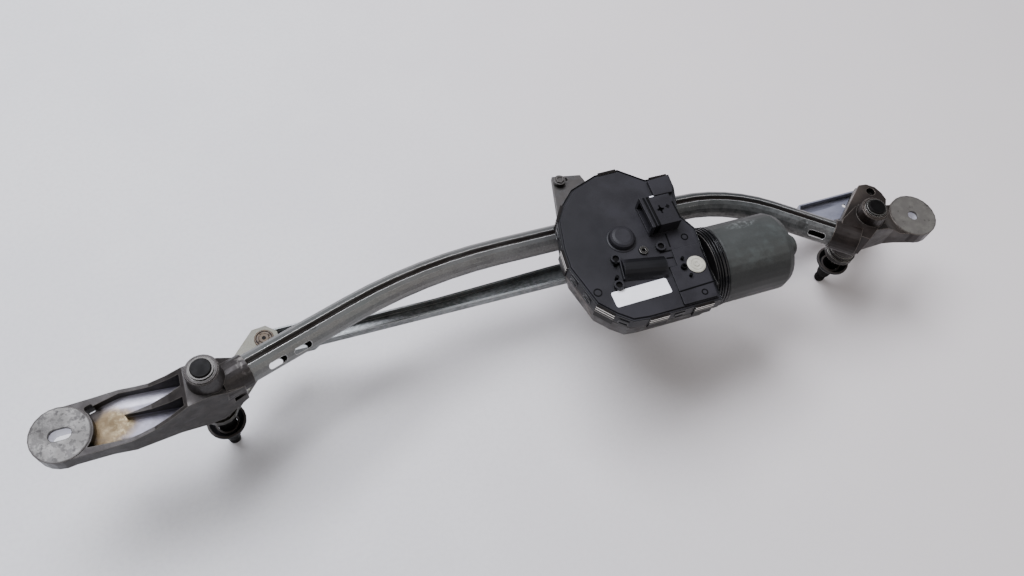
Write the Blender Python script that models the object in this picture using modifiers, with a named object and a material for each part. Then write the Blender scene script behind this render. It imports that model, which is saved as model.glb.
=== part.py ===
"""Wiper linkage: a tubular frame with two bearing housings, a gear motor, levers and drive rods.

Metres, +Z up. The spindles stand along Z, their threaded studs point down, and the pivots lie
on a line along X. The origin is on the ground, below the middle of the whole assembly.
"""

import math

import bmesh
import bpy
from mathutils import Matrix, Vector

COLLECTION_NAME = "wiper_linkage"

# Running clearance between touching pieces, and how far a cutter runs past what it cuts
GAP = 0.0003
REACH = 0.030

# Pivots
PIVOT_SPACING = 0.580
LEFT_PIVOT = (-0.26465, -0.0328)
RIGHT_PIVOT = (LEFT_PIVOT[0] + PIVOT_SPACING, LEFT_PIVOT[1])

# Spindles, measured up from the tips of their studs
SHAFT_RADIUS = 0.0075
LEFT_SHAFT_TOP = 0.146
RIGHT_SHAFT_TOP = 0.127
STUD_RADIUS = 0.0048
STUD_LENGTH = 0.012
CONE_LENGTH = 0.013
CONE_TAPER = 0.0012
RING_DEPTH = 0.0007
RING_THICKNESS = 0.0013
RING_WIDTH = 0.0013
RING_BELOW_TOP = 0.0012

# Bearing bosses
BUSH_WALL = 0.0017
BUSH_LENGTH = 0.016
BOSS_TOP_WALL = 0.0025
BOSS_TAPER = 0.0022
WASHER_THICKNESS = 0.0021
TOP_WASHER_THICKNESS = 0.0007
TOP_WASHER_WIDTH = 0.0022
LEFT_BOSS_BOTTOM = 0.076
RIGHT_BOSS_BOTTOM = 0.060

# Rain caps
CAP_RIM_RADIUS = 0.0155
CAP_WALL = 0.0018
CAP_HEIGHT = 0.010
LEFT_CAP_RIM = 0.043
RIGHT_CAP_RIM = 0.0345

# Levers: hub, parallel edges, then a chamfered tip that starts and ends past the ball stud
LEVER_THICKNESS = 0.005
LEVER_HUB_RADIUS = 0.014
LEVER_HALF_WIDTH = 0.013
LEVER_TIP_HALF_WIDTH = 0.0055
LEVER_SHOULDER_PAST_STUD = 0.0022
LEVER_TIP_PAST_STUD = 0.0106
LEFT_LEVER_LENGTH = 0.0645
LEFT_LEVER_ANGLE = math.radians(47.4)
LEFT_LEVER_UNDERSIDE = 0.068
RIGHT_LEVER_LENGTH = 0.078
RIGHT_LEVER_ANGLE = math.radians(40.0)
RIGHT_LEVER_UNDERSIDE = 0.048

# Ball joints
BALL_RADIUS = 0.0065
BALL_DROP = 0.008
BALL_NECK_RADIUS = 0.0042
RIVET_RADIUS = 0.0080
RIVET_HEIGHT = 0.0009
RIVET_CENTRE_RADIUS = 0.0045
RIVET_CENTRE_HEIGHT = 0.0016
SOCKET_WALL = 0.0022
SOCKET_BASE = 0.0015
SOCKET_FLANGE = 0.0013
SOCKET_LIP = 0.0030

# Drive rods; near and far edges are measured from the line between the two balls
ROD_SHEET = 0.0016
ROD_PAD_RADIUS = 0.0140
ROD_BELOW_BALL = 0.0042
ROD_ABOVE_BALL = 0.0045
ROD_STEP = 0.005
ROD_PAD_START = 0.080
LEFT_ROD_WIDE = (0.0125, 0.0118)
LEFT_ROD_WIDE_LENGTH = 0.037
LEFT_ROD_NARROW = (0.0096, 0.0032)
RIGHT_ROD_WIDE = (0.0125, 0.0138)
RIGHT_ROD_WIDE_LENGTH = 0.068
RIGHT_ROD_NARROW = (0.0080, 0.0058)
ROD_WIDENING = 0.0038
PIVOT_CLEARANCE = 0.0005

# Gear motor, placed from the left pivot
MOTOR_ALONG = 0.335
MOTOR_ASIDE = 0.022
MOTOR_AXIS_HEIGHT = 0.110
WORM_OFFSET = 0.0293
CRANK_RADIUS = 0.048
CRANK_REST_ANGLE = math.radians(30.0)
CRANK_THICKNESS = 0.004
CRANK_HUB_RADIUS = 0.011
CRANK_TIP_RADIUS = 0.009
CRANK_HUB_HEIGHT = 0.008
OUTPUT_SHAFT_RADIUS = 0.005
OUTPUT_BOSS_RADIUS = 0.013
OUTPUT_BOSS_BOTTOM = 0.068
NUT_ACROSS_FLATS = 0.013
NUT_HEIGHT = 0.0045
WHEEL_THICKNESS = 0.009
WHEEL_CLEARANCE = 0.001
WHEEL_TEETH = 36
TOOTH_DEPTH = 0.0014
WORM_RADIUS = 0.0055

# Outline shared by the gear housing's rim and its cover, from the output axis
GEAR_OUTLINE = (
    (0.0255, 0.0680), (0.0040, 0.0675), (-0.0210, 0.0585), (-0.0345, 0.0455), (-0.0440, 0.0315),
    (-0.0495, 0.0060), (-0.0510, -0.0130), (-0.0415, -0.0495), (-0.0300, -0.0623),
    (-0.0185, -0.0715), (-0.0050, -0.0730), (0.0590, -0.0730), (0.0623, -0.0418),
    (0.0665, -0.0046), (0.0585, 0.0120), (0.0665, 0.0380), (0.0675, 0.0520), (0.0450, 0.0520),
)

# Gear housing
HOUSING_WALL = 0.003
HOUSING_FLOOR = 0.003
HOUSING_DRAFT = 0.0065
RIM_THICKNESS = 0.003
SADDLE_DEPTH = 0.0015
SADDLE_WALL = 0.004
SADDLE_RIBS = (-0.0245, 0.0480)
RIB_HALF_THICKNESS = 0.0032
COLLAR_LENGTH = 0.0052
TAB_OUTLINE = ((-0.0320, 0.0440), (-0.0195, 0.0958), (0.0060, 0.0915), (0.0140, 0.0600))
TAB_THICKNESS = 0.005
TAB_ROOT = 0.0025
TAB_ROOT_RISE = 0.0012
TAB_ROOT_SIDES = ((-0.0340, 0.0360), (0.0160, 0.0360), (0.0160, 0.0800), (-0.0340, 0.0800))
TAB_BOLT = (-0.0156, 0.0878)
TAB_BOLT_RADIUS = 0.0030
TAB_BOLT_HEAD = (0.0052, 0.0045)
TAB_SMALL_HOLE = (-0.0080, 0.0900)

# Gear cover
COVER_ABOVE_AXIS = 0.018
COVER_HEIGHT = 0.010
COVER_WALL = 0.0022
COVER_LIP = 0.0015
COVER_LEDGE = 0.0020
DOME_PLACE = (0.0010, 0.0010)
DOME_RADIUS = 0.0108
DOME_HEIGHT = 0.0062
BULGE_PLACE = (0.0080, -0.0298)
BULGE_RADIUS = 0.0104
BULGE_LENGTH = 0.036
BULGE_TURN = math.radians(-10.0)
STEP_HEIGHT = 0.0016
STEP_OUTLINE = (
    (0.0262, -0.0695), (0.0555, -0.0695), (0.0625, -0.0200), (0.0372, -0.0200),
    (0.0356, -0.0350), (0.0286, -0.0352),
)
BLOCK_HEIGHT = 0.0035
BLOCK_OUTLINE = (
    (0.0440, 0.0325), (0.0610, 0.0325), (0.0640, 0.0390), (0.0648, 0.0492), (0.0446, 0.0480),
)
COVER_SCREWS = ((0.0293, -0.0149), (-0.0116, -0.0161), (-0.0182, -0.0393))
SCREW_BOSS_RADIUS = 0.0042
SCREW_BOSS_HEIGHT = 0.0032
SCREW_HEAD_RADIUS = 0.0025
SCREW_SHANK_RADIUS = 0.0014
SCREW_LENGTH = 0.008
SLEEVE_PLACE = (0.0144, -0.0141)
SLEEVE_RADIUS = 0.0036
SLEEVE_BORE = 0.0018
PLUG_PLACE = (0.0508, -0.0385)
PLUG_RADIUS = 0.0078
PLUG_STEM_RADIUS = 0.0058

# Connector housing on the cover, from the output axis
CONNECTOR_LOW = (0.0250, -0.0015)
CONNECTOR_SIZE = (0.0265, 0.0275, 0.0125)
CONNECTOR_WALL = 0.0016
CONNECTOR_DEPTH = 0.015
CONNECTOR_FLANGE = 0.0012

# Spring clips: number of the outline's edge and share along it of each clip's middle
CLIP_PLACES = ((0, 0.46), (3, 0.5), (5, 0.5), (7, 0.5), (10, 0.133), (10, 0.755), (16, 0.46))
CLIP_LENGTH = 0.0165
CLIP_SHEET = 0.0009
CLIP_HOOK = 0.0011

# Motor can
CAN_RADIUS = 0.0335
CAN_WALL = 0.0018
CAN_START = 0.0775
CAN_LENGTH = 0.0675
CAN_SHOULDER = 0.010
CAN_NOSE_RADIUS = 0.0100
CAN_NOSE_LENGTH = 0.014
FLANGE_RADIUS = 0.0343
FLANGE_LENGTH = 0.0045
FLANGE_BORE = 0.0065
MAGNET_THICKNESS = 0.006
MAGNET_HALF_ANGLE = 55
MAGNET_INSET = (0.012, 0.020)

# Frame tube
TUBE_RADIUS = 0.0115
TUBE_WALL = 0.0016
GROOVE_WIDTH = 0.0038
GROOVE_DEPTH = 0.0060
TUBE_RUN_ASIDE = 0.065
TUBE_LEFT_BEND_ALONG = 0.178
TUBE_RIGHT_BEND_ALONG = -0.112
LEFT_BEND_RADIUS = 0.350
RIGHT_BEND_RADIUS = 0.120
PUNCH_LENGTH = 0.0155
PUNCH_WIDTH = 0.0045
PUNCH_OFFSET = 0.0080
PUNCH_LEAN = math.radians(25)
LEFT_PUNCHES = (0.0293, 0.0512)
RIGHT_PUNCH = 0.0280

# Mounting eyes
EYE_THICKNESS = 0.013
LEFT_EYE = (-0.1034, -0.0068)
LEFT_EYE_RADIUS = 0.021
LEFT_EYE_TOP = 0.112
PAD_RISE = 0.0004
LEFT_SLOT_WIDTH = 0.009
LEFT_SLOT_LENGTH = 0.0160
RIGHT_EYE = (0.0517, -0.005)
RIGHT_EYE_RADIUS = 0.022
RIGHT_EYE_TOP = 0.100
RIGHT_HOLE_RADIUS = 0.0047

# Left bearing housing: outline in plan, and side outline with heights from the eye's top
LEFT_FAR_SIDE = (
    (-0.0620, 0.0157), (-0.0410, 0.0140), (-0.0150, 0.0138), (0.0100, 0.0158), (0.0235, 0.0150),
)
LEFT_NEAR_SIDE = (
    (0.0245, -0.0095), (0.0130, -0.0132), (-0.0040, -0.0158), (-0.0270, -0.0205), (-0.0580, -0.0266),
)
LEFT_SIDE_TOP = (
    (-0.0500, 0.0006), (-0.0410, 0.0018), (-0.0280, 0.0070), (-0.0150, 0.0148), (0.0020, 0.0150),
    (0.0120, 0.0100), (0.0250, 0.0045), (0.0400, 0.0030),
)
LEFT_SIDE_FOOT = (
    (0.0400, -0.0130), (0.0270, -0.0150), (0.0139, -0.0220), (0.0040, -0.0300), (-0.0060, -0.0305),
    (-0.0270, -0.0215), (-0.0580, -0.0162),
)
LEFT_RIM = 0.0030
LEFT_POCKET_DEPTH = 0.0080
LEFT_POCKET_END = -0.0178
LEFT_RIB_TIP = (-0.0600, -0.0050)
LEFT_RIB_ROOT = 0.0070
LEFT_SOCKET_WALL = 0.0017
LEFT_SOCKET_MOUTH = 0.0080
LEFT_SOCKET_ROOT = 0.014
LEFT_RECESS = ((0.0150, -0.0100), (0.0250, -0.0080), (0.0250, -0.0030), (0.0150, -0.0040))
LEFT_RECESS_BOTTOM = -0.0094

# Right bearing housing: arm and ear in plan, heights from the eye's top
RIGHT_ARM = (
    (-0.0040, 0.0140), (0.0180, 0.0150), (0.0360, 0.0115), (0.0360, -0.0215), (0.0200, -0.0165),
    (-0.0040, -0.0150),
)
RIGHT_ARM_TOP = ((-0.0040, 0.0120), (0.0120, 0.0100), (0.0290, 0.0000))
RIGHT_ARM_FOOT = ((0.0300, -0.0160), (-0.0040, -0.0240))
RIGHT_EAR = (
    (-0.0340, -0.0020), (0.0095, 0.0338), (0.0170, 0.0330), (0.0235, 0.0280), (0.0265, 0.0205),
    (0.0270, 0.0130), (0.0120, -0.0100), (-0.0200, -0.0120),
)
RIGHT_EAR_RISE = (0.0020, 0.0100)
RIGHT_EAR_RECESS = (0.0170, 0.0245)
RIGHT_EAR_RECESS_RADIUS = 0.0041
RIGHT_WEB = (
    (-0.0274, 0.0030), (-0.0080, 0.0125), (0.0040, -0.0120), (-0.0140, -0.0230), (-0.0349, -0.0062),
)
RIGHT_WEB_RISE = (-0.0120, 0.0130)
RIGHT_SOCKET_WALL = 0.0020
RIGHT_SOCKET_MOUTH = 0.0152
RIGHT_SOCKET_ROOT = 0.008

# Facets round a full turn, for shafts and housings, and for small pieces
TURN_STEPS = 24
CAN_STEPS = 32
SMALL_STEPS = 14

# Worked-out places
FLOOR_UNDERSIDE = MOTOR_AXIS_HEIGHT - WHEEL_THICKNESS / 2 - WHEEL_CLEARANCE - HOUSING_FLOOR
TUBE_RUN_HEIGHT = FLOOR_UNDERSIDE + SADDLE_DEPTH - TUBE_RADIUS
TUBE_LEFT_END = (0.0200, 0.0030, LEFT_EYE_TOP + 0.001)
TUBE_RIGHT_END = (-0.0245, -0.0115, RIGHT_EYE_TOP + 0.001)
COVER_BOTTOM = MOTOR_AXIS_HEIGHT + COVER_ABOVE_AXIS
COVER_TOP = COVER_BOTTOM + COVER_HEIGHT
LEFT_BALL_HEIGHT = LEFT_LEVER_UNDERSIDE - BALL_DROP
RIGHT_BALL_HEIGHT = RIGHT_LEVER_UNDERSIDE - BALL_DROP
CRANK_HEIGHT = (LEFT_BALL_HEIGHT + RIGHT_BALL_HEIGHT) / 2
CRANK_TO_BALL = (LEFT_BALL_HEIGHT - RIGHT_BALL_HEIGHT) / 2 - CRANK_THICKNESS / 2
CRANK_NECK = CRANK_TO_BALL - max(ROD_BELOW_BALL, ROD_ABOVE_BALL) - PIVOT_CLEARANCE
OUTPUT_AXIS = (LEFT_PIVOT[0] + MOTOR_ALONG, LEFT_PIVOT[1] + MOTOR_ASIDE)
BUSH_RADIUS = SHAFT_RADIUS + GAP + BUSH_WALL
BOSS_BORE = BUSH_RADIUS + GAP

scene_objects = list(bpy.data.objects)
for old in scene_objects:
    bpy.data.objects.remove(old, do_unlink=True)

parts = bpy.data.collections.new(COLLECTION_NAME)
cutters = bpy.data.collections.new("cutters")
bpy.context.scene.collection.children.link(parts)
bpy.context.scene.collection.children.link(cutters)


def material(name, colour, metallic, roughness):
    """Principled material in one linear colour."""
    made = bpy.data.materials.new(name)
    made.use_nodes = True
    shader = made.node_tree.nodes["Principled BSDF"]
    shader.inputs["Base Color"].default_value = (*colour, 1.0)
    shader.inputs["Metallic"].default_value = metallic
    shader.inputs["Roughness"].default_value = roughness
    made.diffuse_color = (*colour, 1.0)
    return made


GALVANISED = material("galvanised_steel", (0.36, 0.38, 0.38), 0.9, 0.42)
DIE_CAST = material("die_cast_aluminium", (0.20, 0.19, 0.18), 0.8, 0.5)
BRIGHT_STEEL = material("bright_steel", (0.55, 0.55, 0.54), 1.0, 0.3)
DARK_STEEL = material("dark_steel", (0.06, 0.055, 0.05), 0.8, 0.45)
PALE_ZINC = material("pale_zinc", (0.62, 0.62, 0.52), 0.6, 0.4)
BLACK_PLASTIC = material("black_plastic", (0.022, 0.023, 0.026), 0.0, 0.45)
WHITE_PLASTIC = material("white_plastic", (0.60, 0.59, 0.55), 0.0, 0.5)
NATURAL_PLASTIC = material("natural_acetal", (0.45, 0.43, 0.38), 0.0, 0.4)
BLACK_RUBBER = material("black_rubber", (0.02, 0.02, 0.02), 0.0, 0.75)
CAN_PAINT = material("can_paint", (0.07, 0.085, 0.09), 0.3, 0.45)
BRONZE = material("sintered_bronze", (0.35, 0.22, 0.10), 0.9, 0.5)
FERRITE = material("ferrite", (0.05, 0.05, 0.055), 0.1, 0.6)


def piece(name, mesh, finish, location=(0.0, 0.0, 0.0), turn=0.0, parent=None):
    """Named sub-part in the parts collection."""
    made = bpy.data.objects.new(name, mesh)
    mesh.materials.append(finish)
    made.location = location
    made.rotation_euler = (0.0, 0.0, turn)
    made.parent = parent
    parts.objects.link(made)
    return made


def tool(name, mesh, host):
    """Cutter or joined shape that shares its host's place and is left out of the build."""
    made = bpy.data.objects.new(name, mesh)
    made.hide_render = True
    made.display_type = "WIRE"
    made.location = host.location
    made.rotation_euler = host.rotation_euler
    made.parent = host.parent
    cutters.objects.link(made)
    return made


def combine(host, mesh, operation):
    """Boolean of the host with a shape given in the host's own coordinates."""
    helper = tool(f"{host.name}_{operation.lower()}_{len(host.modifiers)}", mesh, host)
    change = host.modifiers.new(operation.lower(), "BOOLEAN")
    change.operation = operation
    change.object = helper
    return helper


def join(host, *meshes):
    for mesh in meshes:
        combine(host, mesh, "UNION")


def cut(host, *meshes):
    for mesh in meshes:
        combine(host, mesh, "DIFFERENCE")


def smooth(mesh, angle=math.radians(35)):
    mesh.shade_smooth()
    mesh.set_sharp_from_angle(angle=angle)
    return mesh


def finish(host):
    """Round faces shaded smooth, and the vertices that the Booleans left double made one."""
    weld = host.modifiers.new("weld", "WELD")
    weld.merge_threshold = 0.00002
    smooth(host.data)


def mesh_of(source):
    """Mesh of an object as evaluated, with its loose caps welded; the object is removed."""
    graph = bpy.context.evaluated_depsgraph_get()
    graph.update()
    mesh = bpy.data.meshes.new_from_object(source.evaluated_get(graph))
    bpy.data.objects.remove(source, do_unlink=True)
    work = bmesh.new()
    work.from_mesh(mesh)
    bmesh.ops.remove_doubles(work, verts=work.verts, dist=1e-6)
    bmesh.ops.dissolve_degenerate(work, edges=work.edges, dist=1e-7)
    work.to_mesh(mesh)
    work.free()
    return mesh


def prism(outlines, low, high, plane="XY"):
    """Flat outline, with any holes, extruded from low to high; plane XZ stands it upright."""
    curve = bpy.data.curves.new("outline", "CURVE")
    curve.dimensions = "2D"
    curve.fill_mode = "BOTH"
    curve.extrude = (high - low) / 2
    for points in outlines:
        spline = curve.splines.new("POLY")
        spline.points.add(len(points) - 1)
        for slot, point in zip(spline.points, points):
            slot.co = (point[0], point[1], 0.0, 1.0)
        spline.use_cyclic_u = True
    holder = bpy.data.objects.new("outline", curve)
    cutters.objects.link(holder)
    mesh = mesh_of(holder)
    mesh.transform(Matrix.Translation((0.0, 0.0, (high + low) / 2)))
    if plane == "XZ":
        mesh.transform(Matrix.Rotation(math.radians(90), 4, "X"))
    return mesh


def drafted(low_points, high_points, low, high):
    """Prism whose walls lean from one outline to another with as many corners."""
    work = bmesh.new()
    rings = []
    for points, height in ((low_points, low), (high_points, high)):
        rings.append([work.verts.new((x, y, height)) for x, y in points])
    foot, rim = rings
    for place in range(len(foot)):
        work.faces.new((foot[place - 1], foot[place], rim[place], rim[place - 1]))
    work.faces.new(foot)
    work.faces.new(rim)
    bmesh.ops.recalc_face_normals(work, faces=work.faces)
    mesh = bpy.data.meshes.new("drafted")
    work.to_mesh(mesh)
    work.free()
    return mesh


def turned(profile, steps=TURN_STEPS, closed=False, axis="Z", centre=(0.0, 0.0, 0.0)):
    """Profile of (radius, height) points turned round Z; axis X lays it along +X."""
    mesh = bpy.data.meshes.new("profile")
    points = [(radius, 0.0, height) for radius, height in profile]
    edges = [(index, index + 1) for index in range(len(points) - 1)]
    if closed:
        edges.append((len(points) - 1, 0))
    mesh.from_pydata(points, edges, [])
    holder = bpy.data.objects.new("profile", mesh)
    cutters.objects.link(holder)
    screw = holder.modifiers.new("turn", "SCREW")
    screw.steps = steps
    screw.render_steps = steps
    screw.use_merge_vertices = True
    screw.merge_threshold = 0.00001
    made = mesh_of(holder)
    if axis == "X":
        made.transform(Matrix.Rotation(math.radians(90), 4, "Y"))
    made.transform(Matrix.Translation(centre))
    return smooth(made)


def rod_profile(radius, low, high):
    """Plain cylinder as a turned profile."""
    return [(0.0, high), (radius, high), (radius, low), (0.0, low)]


def ring_profile(inner, outer, low, high):
    """Plain ring as a closed turned profile."""
    return [(outer, high), (outer, low), (inner, low), (inner, high)]


def arc(centre, radius, start, end, count):
    """Points of an arc, angles in degrees."""
    points = []
    for index in range(count + 1):
        angle = math.radians(start + (end - start) * index / count)
        points.append((centre[0] + radius * math.cos(angle), centre[1] + radius * math.sin(angle)))
    return points


def tapered_link(length, hub, tip, count=8):
    """Outline round a hub at the origin and a tip on +X, joined by their common tangents."""
    lean = math.degrees(math.acos((hub - tip) / length))
    return arc((0.0, 0.0), hub, lean, 360 - lean, count) + arc((length, 0.0), tip, -lean, lean, count)


def stadium(length, width, centre=(0.0, 0.0), turn=0.0, count=6):
    """Slot outline with round ends, length over all, turned about its centre."""
    reach = (length - width) / 2
    points = arc((reach, 0.0), width / 2, -90, 90, count) + arc((-reach, 0.0), width / 2, 90, 270, count)
    cosine, sine = math.cos(turn), math.sin(turn)
    return [
        (centre[0] + x * cosine - y * sine, centre[1] + x * sine + y * cosine)
        for x, y in points
    ]


def inset(points, distance):
    """Closed outline moved inwards by a distance; the outline runs clockwise or anticlockwise."""
    area = sum(
        points[index - 1][0] * points[index][1] - points[index][0] * points[index - 1][1]
        for index in range(len(points))
    )
    side = 1.0 if area > 0 else -1.0
    moved = []
    for index, point in enumerate(points):
        here = Vector(point)
        before = (here - Vector(points[index - 1])).normalized()
        after = (Vector(points[(index + 1) % len(points)]) - here).normalized()
        normal_before = Vector((-before.y, before.x)) * side
        normal_after = Vector((-after.y, after.x)) * side
        bisector = (normal_before + normal_after).normalized()
        reach = distance / max(bisector.dot(normal_before), 0.3)
        moved.append(tuple(here + bisector * reach))
    return moved


def pivot_empty(name, place):
    empty = bpy.data.objects.new(name, None)
    empty.location = (place[0], place[1], 0.0)
    parts.objects.link(empty)
    return empty


def rounded_path(corners, radii, count=6):
    """Straight runs joined by arcs, as a tube bender makes them."""
    path = [Vector(corners[0])]
    for index in range(1, len(corners) - 1):
        before = Vector(corners[index - 1])
        corner = Vector(corners[index])
        after = Vector(corners[index + 1])
        into = (before - corner).normalized()
        out = (after - corner).normalized()
        half = into.angle(out) / 2
        reach = radii[index - 1] / math.tan(half)
        centre = corner + (into + out).normalized() * (radii[index - 1] / math.sin(half))
        start = corner + into * reach - centre
        end = corner + out * reach - centre
        sweep = start.angle(end)
        axis = start.cross(end).normalized()
        for step in range(count + 1):
            path.append(centre + Matrix.Rotation(sweep * step / count, 3, axis) @ start)
    path.append(Vector(corners[-1]))
    return path


def tube_path():
    left = Vector((*LEFT_PIVOT, 0.0))
    right = Vector((*RIGHT_PIVOT, 0.0))
    corners = (
        left + Vector(TUBE_LEFT_END),
        left + Vector((TUBE_LEFT_BEND_ALONG, TUBE_RUN_ASIDE, TUBE_RUN_HEIGHT)),
        right + Vector((TUBE_RIGHT_BEND_ALONG, TUBE_RUN_ASIDE, TUBE_RUN_HEIGHT)),
        right + Vector(TUBE_RIGHT_END),
    )
    return rounded_path(corners, (LEFT_BEND_RADIUS, RIGHT_BEND_RADIUS))


def tube_section():
    """Round section with a folded-in groove at the top, as (across, up) points."""
    mouth = math.degrees(math.asin((GROOVE_WIDTH / 2 + 0.0006) / TUBE_RADIUS))
    half_width = GROOVE_WIDTH / 2
    bottom = TUBE_RADIUS - GROOVE_DEPTH
    round_part = arc((0.0, 0.0), TUBE_RADIUS, 90 - mouth, -270 + mouth, 17)
    fold = [
        (-half_width, TUBE_RADIUS - 0.0016),
        (-half_width * 0.8, bottom + 0.0012),
        (0.0, bottom),
        (half_width * 0.8, bottom + 0.0012),
        (half_width, TUBE_RADIUS - 0.0016),
    ]
    return round_part + fold


def sweep_section(path, section):
    """Open-ended skin through a section carried along a path with its up side kept up."""
    work = bmesh.new()
    rings = []
    for index, point in enumerate(path):
        ahead = path[min(index + 1, len(path) - 1)]
        behind = path[max(index - 1, 0)]
        along = (ahead - behind).normalized()
        across = along.cross(Vector((0.0, 0.0, 1.0))).normalized()
        up = across.cross(along)
        corners = [work.verts.new(point + across * x + up * y) for x, y in section]
        rings.append([
            work.edges.new((corners[place - 1], corners[place])) for place in range(len(corners))
        ])
    for first, second in zip(rings, rings[1:]):
        bmesh.ops.bridge_loops(work, edges=first + second)
    bmesh.ops.recalc_face_normals(work, faces=work.faces)
    mesh = bpy.data.meshes.new("swept")
    work.to_mesh(mesh)
    work.free()
    return mesh


def tube_frame_at(path, distance_from_end, from_right=False):
    """Place and directions on the tube at a distance from one end."""
    points = list(reversed(path)) if from_right else path
    left = distance_from_end
    for first, second in zip(points, points[1:]):
        run = (second - first).length
        if left <= run:
            along = (second - first).normalized()
            if from_right:
                along = -along
            place = first + (second - first).normalized() * left
            across = along.cross(Vector((0.0, 0.0, 1.0))).normalized()
            up = across.cross(along)
            return place, along, across, up
        left -= run
    return None


def punch(path, distance, length, width, side, lean, from_right=False):
    """Slot punch that leans through the tube's wall on its camera side."""
    place, along, across, up = tube_frame_at(path, distance, from_right)
    direction = up * math.cos(lean) + across * math.sin(lean)
    sideways = direction.cross(along)
    mesh = prism([stadium(length, width)], -REACH, REACH)
    frame = Matrix((along, sideways, direction)).transposed().to_4x4()
    mesh.transform(Matrix.Translation(place + across * side) @ frame)
    return mesh


def build_frame_tube():
    path = tube_path()
    tube = piece("frame_tube", sweep_section(path, tube_section()), GALVANISED)
    wall = tube.modifiers.new("wall", "SOLIDIFY")
    wall.thickness = TUBE_WALL
    wall.offset = -1.0
    punches = [(distance, False) for distance in LEFT_PUNCHES] + [(RIGHT_PUNCH, True)]
    for distance, from_right in punches:
        cut(tube, punch(path, distance, PUNCH_LENGTH, PUNCH_WIDTH, PUNCH_OFFSET, PUNCH_LEAN, from_right))
    finish(tube)
    return tube


def tube_clearance(path, extra, start=0.0, end=None):
    """Round bar along the straight end of the tube, wide enough to clear it."""
    first = path[0]
    along = (path[1] - path[0]).normalized()
    if end is None:
        end = (path[1] - path[0]).length
    mesh = turned(rod_profile(TUBE_RADIUS + extra, start, end))
    turn = Vector((0.0, 0.0, 1.0)).rotation_difference(along).to_matrix().to_4x4()
    mesh.transform(Matrix.Translation(first) @ turn)
    return mesh


def moved(mesh, offset):
    mesh.transform(Matrix.Translation(offset))
    return mesh


def boss_profile(bottom, top):
    """Turned bearing boss, slimmer at the top, with a chamfered rim."""
    slim = BOSS_BORE + BOSS_TOP_WALL
    stout = slim + BOSS_TAPER
    middle = (bottom + top) / 2
    return [
        (0.0, top),
        (slim - 0.0006, top),
        (slim, top - 0.0006),
        (slim + 0.0003, top - 0.006),
        (stout, middle + 0.006),
        (stout, middle - 0.010),
        (slim + 0.0008, bottom + 0.006),
        (slim + 0.0004, bottom),
        (0.0, bottom),
    ]


def bore_mesh(bottom, top):
    return turned(rod_profile(BOSS_BORE, bottom - REACH, top + REACH))


def raised(points, height):
    """Outline points with their second coordinate measured from a height."""
    return [(along, height + rise) for along, rise in points]


def build_left_housing():
    """Casting with a long pocketed arm; coordinates are measured from the left spindle."""
    top = LEFT_SHAFT_TOP - RING_BELOW_TOP - RING_THICKNESS - TOP_WASHER_THICKNESS - 3 * GAP
    bottom = LEFT_BOSS_BOTTOM
    deck = LEFT_EYE_TOP
    eye_x, eye_y = LEFT_EYE
    eye_low = deck - EYE_THICKNESS
    upper = eye_y + LEFT_EYE_RADIUS - 0.0006
    lower = eye_y - LEFT_EYE_RADIUS + 0.0006
    outer_end = eye_x - LEFT_EYE_RADIUS - REACH
    plan = [(eye_x, upper), *LEFT_FAR_SIDE, *LEFT_NEAR_SIDE, (eye_x, lower)]
    arm_top = deck - PAD_RISE
    arm_low = eye_low + PAD_RISE
    side = [(outer_end, arm_top), (eye_x + LEFT_EYE_RADIUS + 0.003, arm_top)]
    side += raised(LEFT_SIDE_TOP, deck) + raised(LEFT_SIDE_FOOT, deck)
    side += [(eye_x + LEFT_EYE_RADIUS + 0.010, arm_low), (outer_end, arm_low)]
    housing = piece("left_bearing_housing", prism([plan], deck - 2 * REACH, deck + REACH), DIE_CAST,
                    (*LEFT_PIVOT, 0.0))
    combine(housing, prism([side], -2 * REACH, 2 * REACH, "XZ"), "INTERSECT")
    eye = moved(turned(rod_profile(LEFT_EYE_RADIUS, eye_low, deck)), (eye_x, eye_y, 0.0))
    boss = turned(boss_profile(bottom, top))
    path = [point - Vector((*LEFT_PIVOT, 0.0)) for point in tube_path()]
    socket = tube_clearance(path, LEFT_SOCKET_WALL, -LEFT_SOCKET_ROOT, LEFT_SOCKET_MOUTH)
    join(housing, boss, eye, socket)
    far_wall = [(x, y - LEFT_RIM) for x, y in LEFT_FAR_SIDE[:2]]
    near_wall = [(x, y + LEFT_RIM) for x, y in reversed(LEFT_NEAR_SIDE[-2:])]
    root = LEFT_RIB_ROOT / 2
    rib_y = LEFT_RIB_TIP[1]
    pocket = arc((eye_x, eye_y), LEFT_EYE_RADIUS + 0.0012, 38, -42, 6) + near_wall + [
        (LEFT_POCKET_END, rib_y - root - 0.0070), (LEFT_POCKET_END, rib_y - root), LEFT_RIB_TIP,
        (LEFT_POCKET_END, rib_y + root + 0.0020), (LEFT_POCKET_END, far_wall[1][1] - 0.0015),
        far_wall[1], far_wall[0],
    ]
    window = stadium(0.006, 0.003, (eye_x + 0.0205, eye_y + 0.0150), 0.3)
    slot = stadium(LEFT_SLOT_LENGTH, LEFT_SLOT_WIDTH, (eye_x, eye_y))
    recess = prism([raised(LEFT_RECESS, deck)], -LEFT_RECESS_BOTTOM, REACH, "XZ")
    cut(
        housing,
        prism([pocket], deck - LEFT_POCKET_DEPTH, deck + REACH),
        prism([window], deck - REACH, deck + REACH),
        prism([slot], deck - REACH, deck + REACH),
        recess,
        bore_mesh(bottom, top),
        tube_clearance(path, GAP),
    )
    finish(housing)
    return housing


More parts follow.
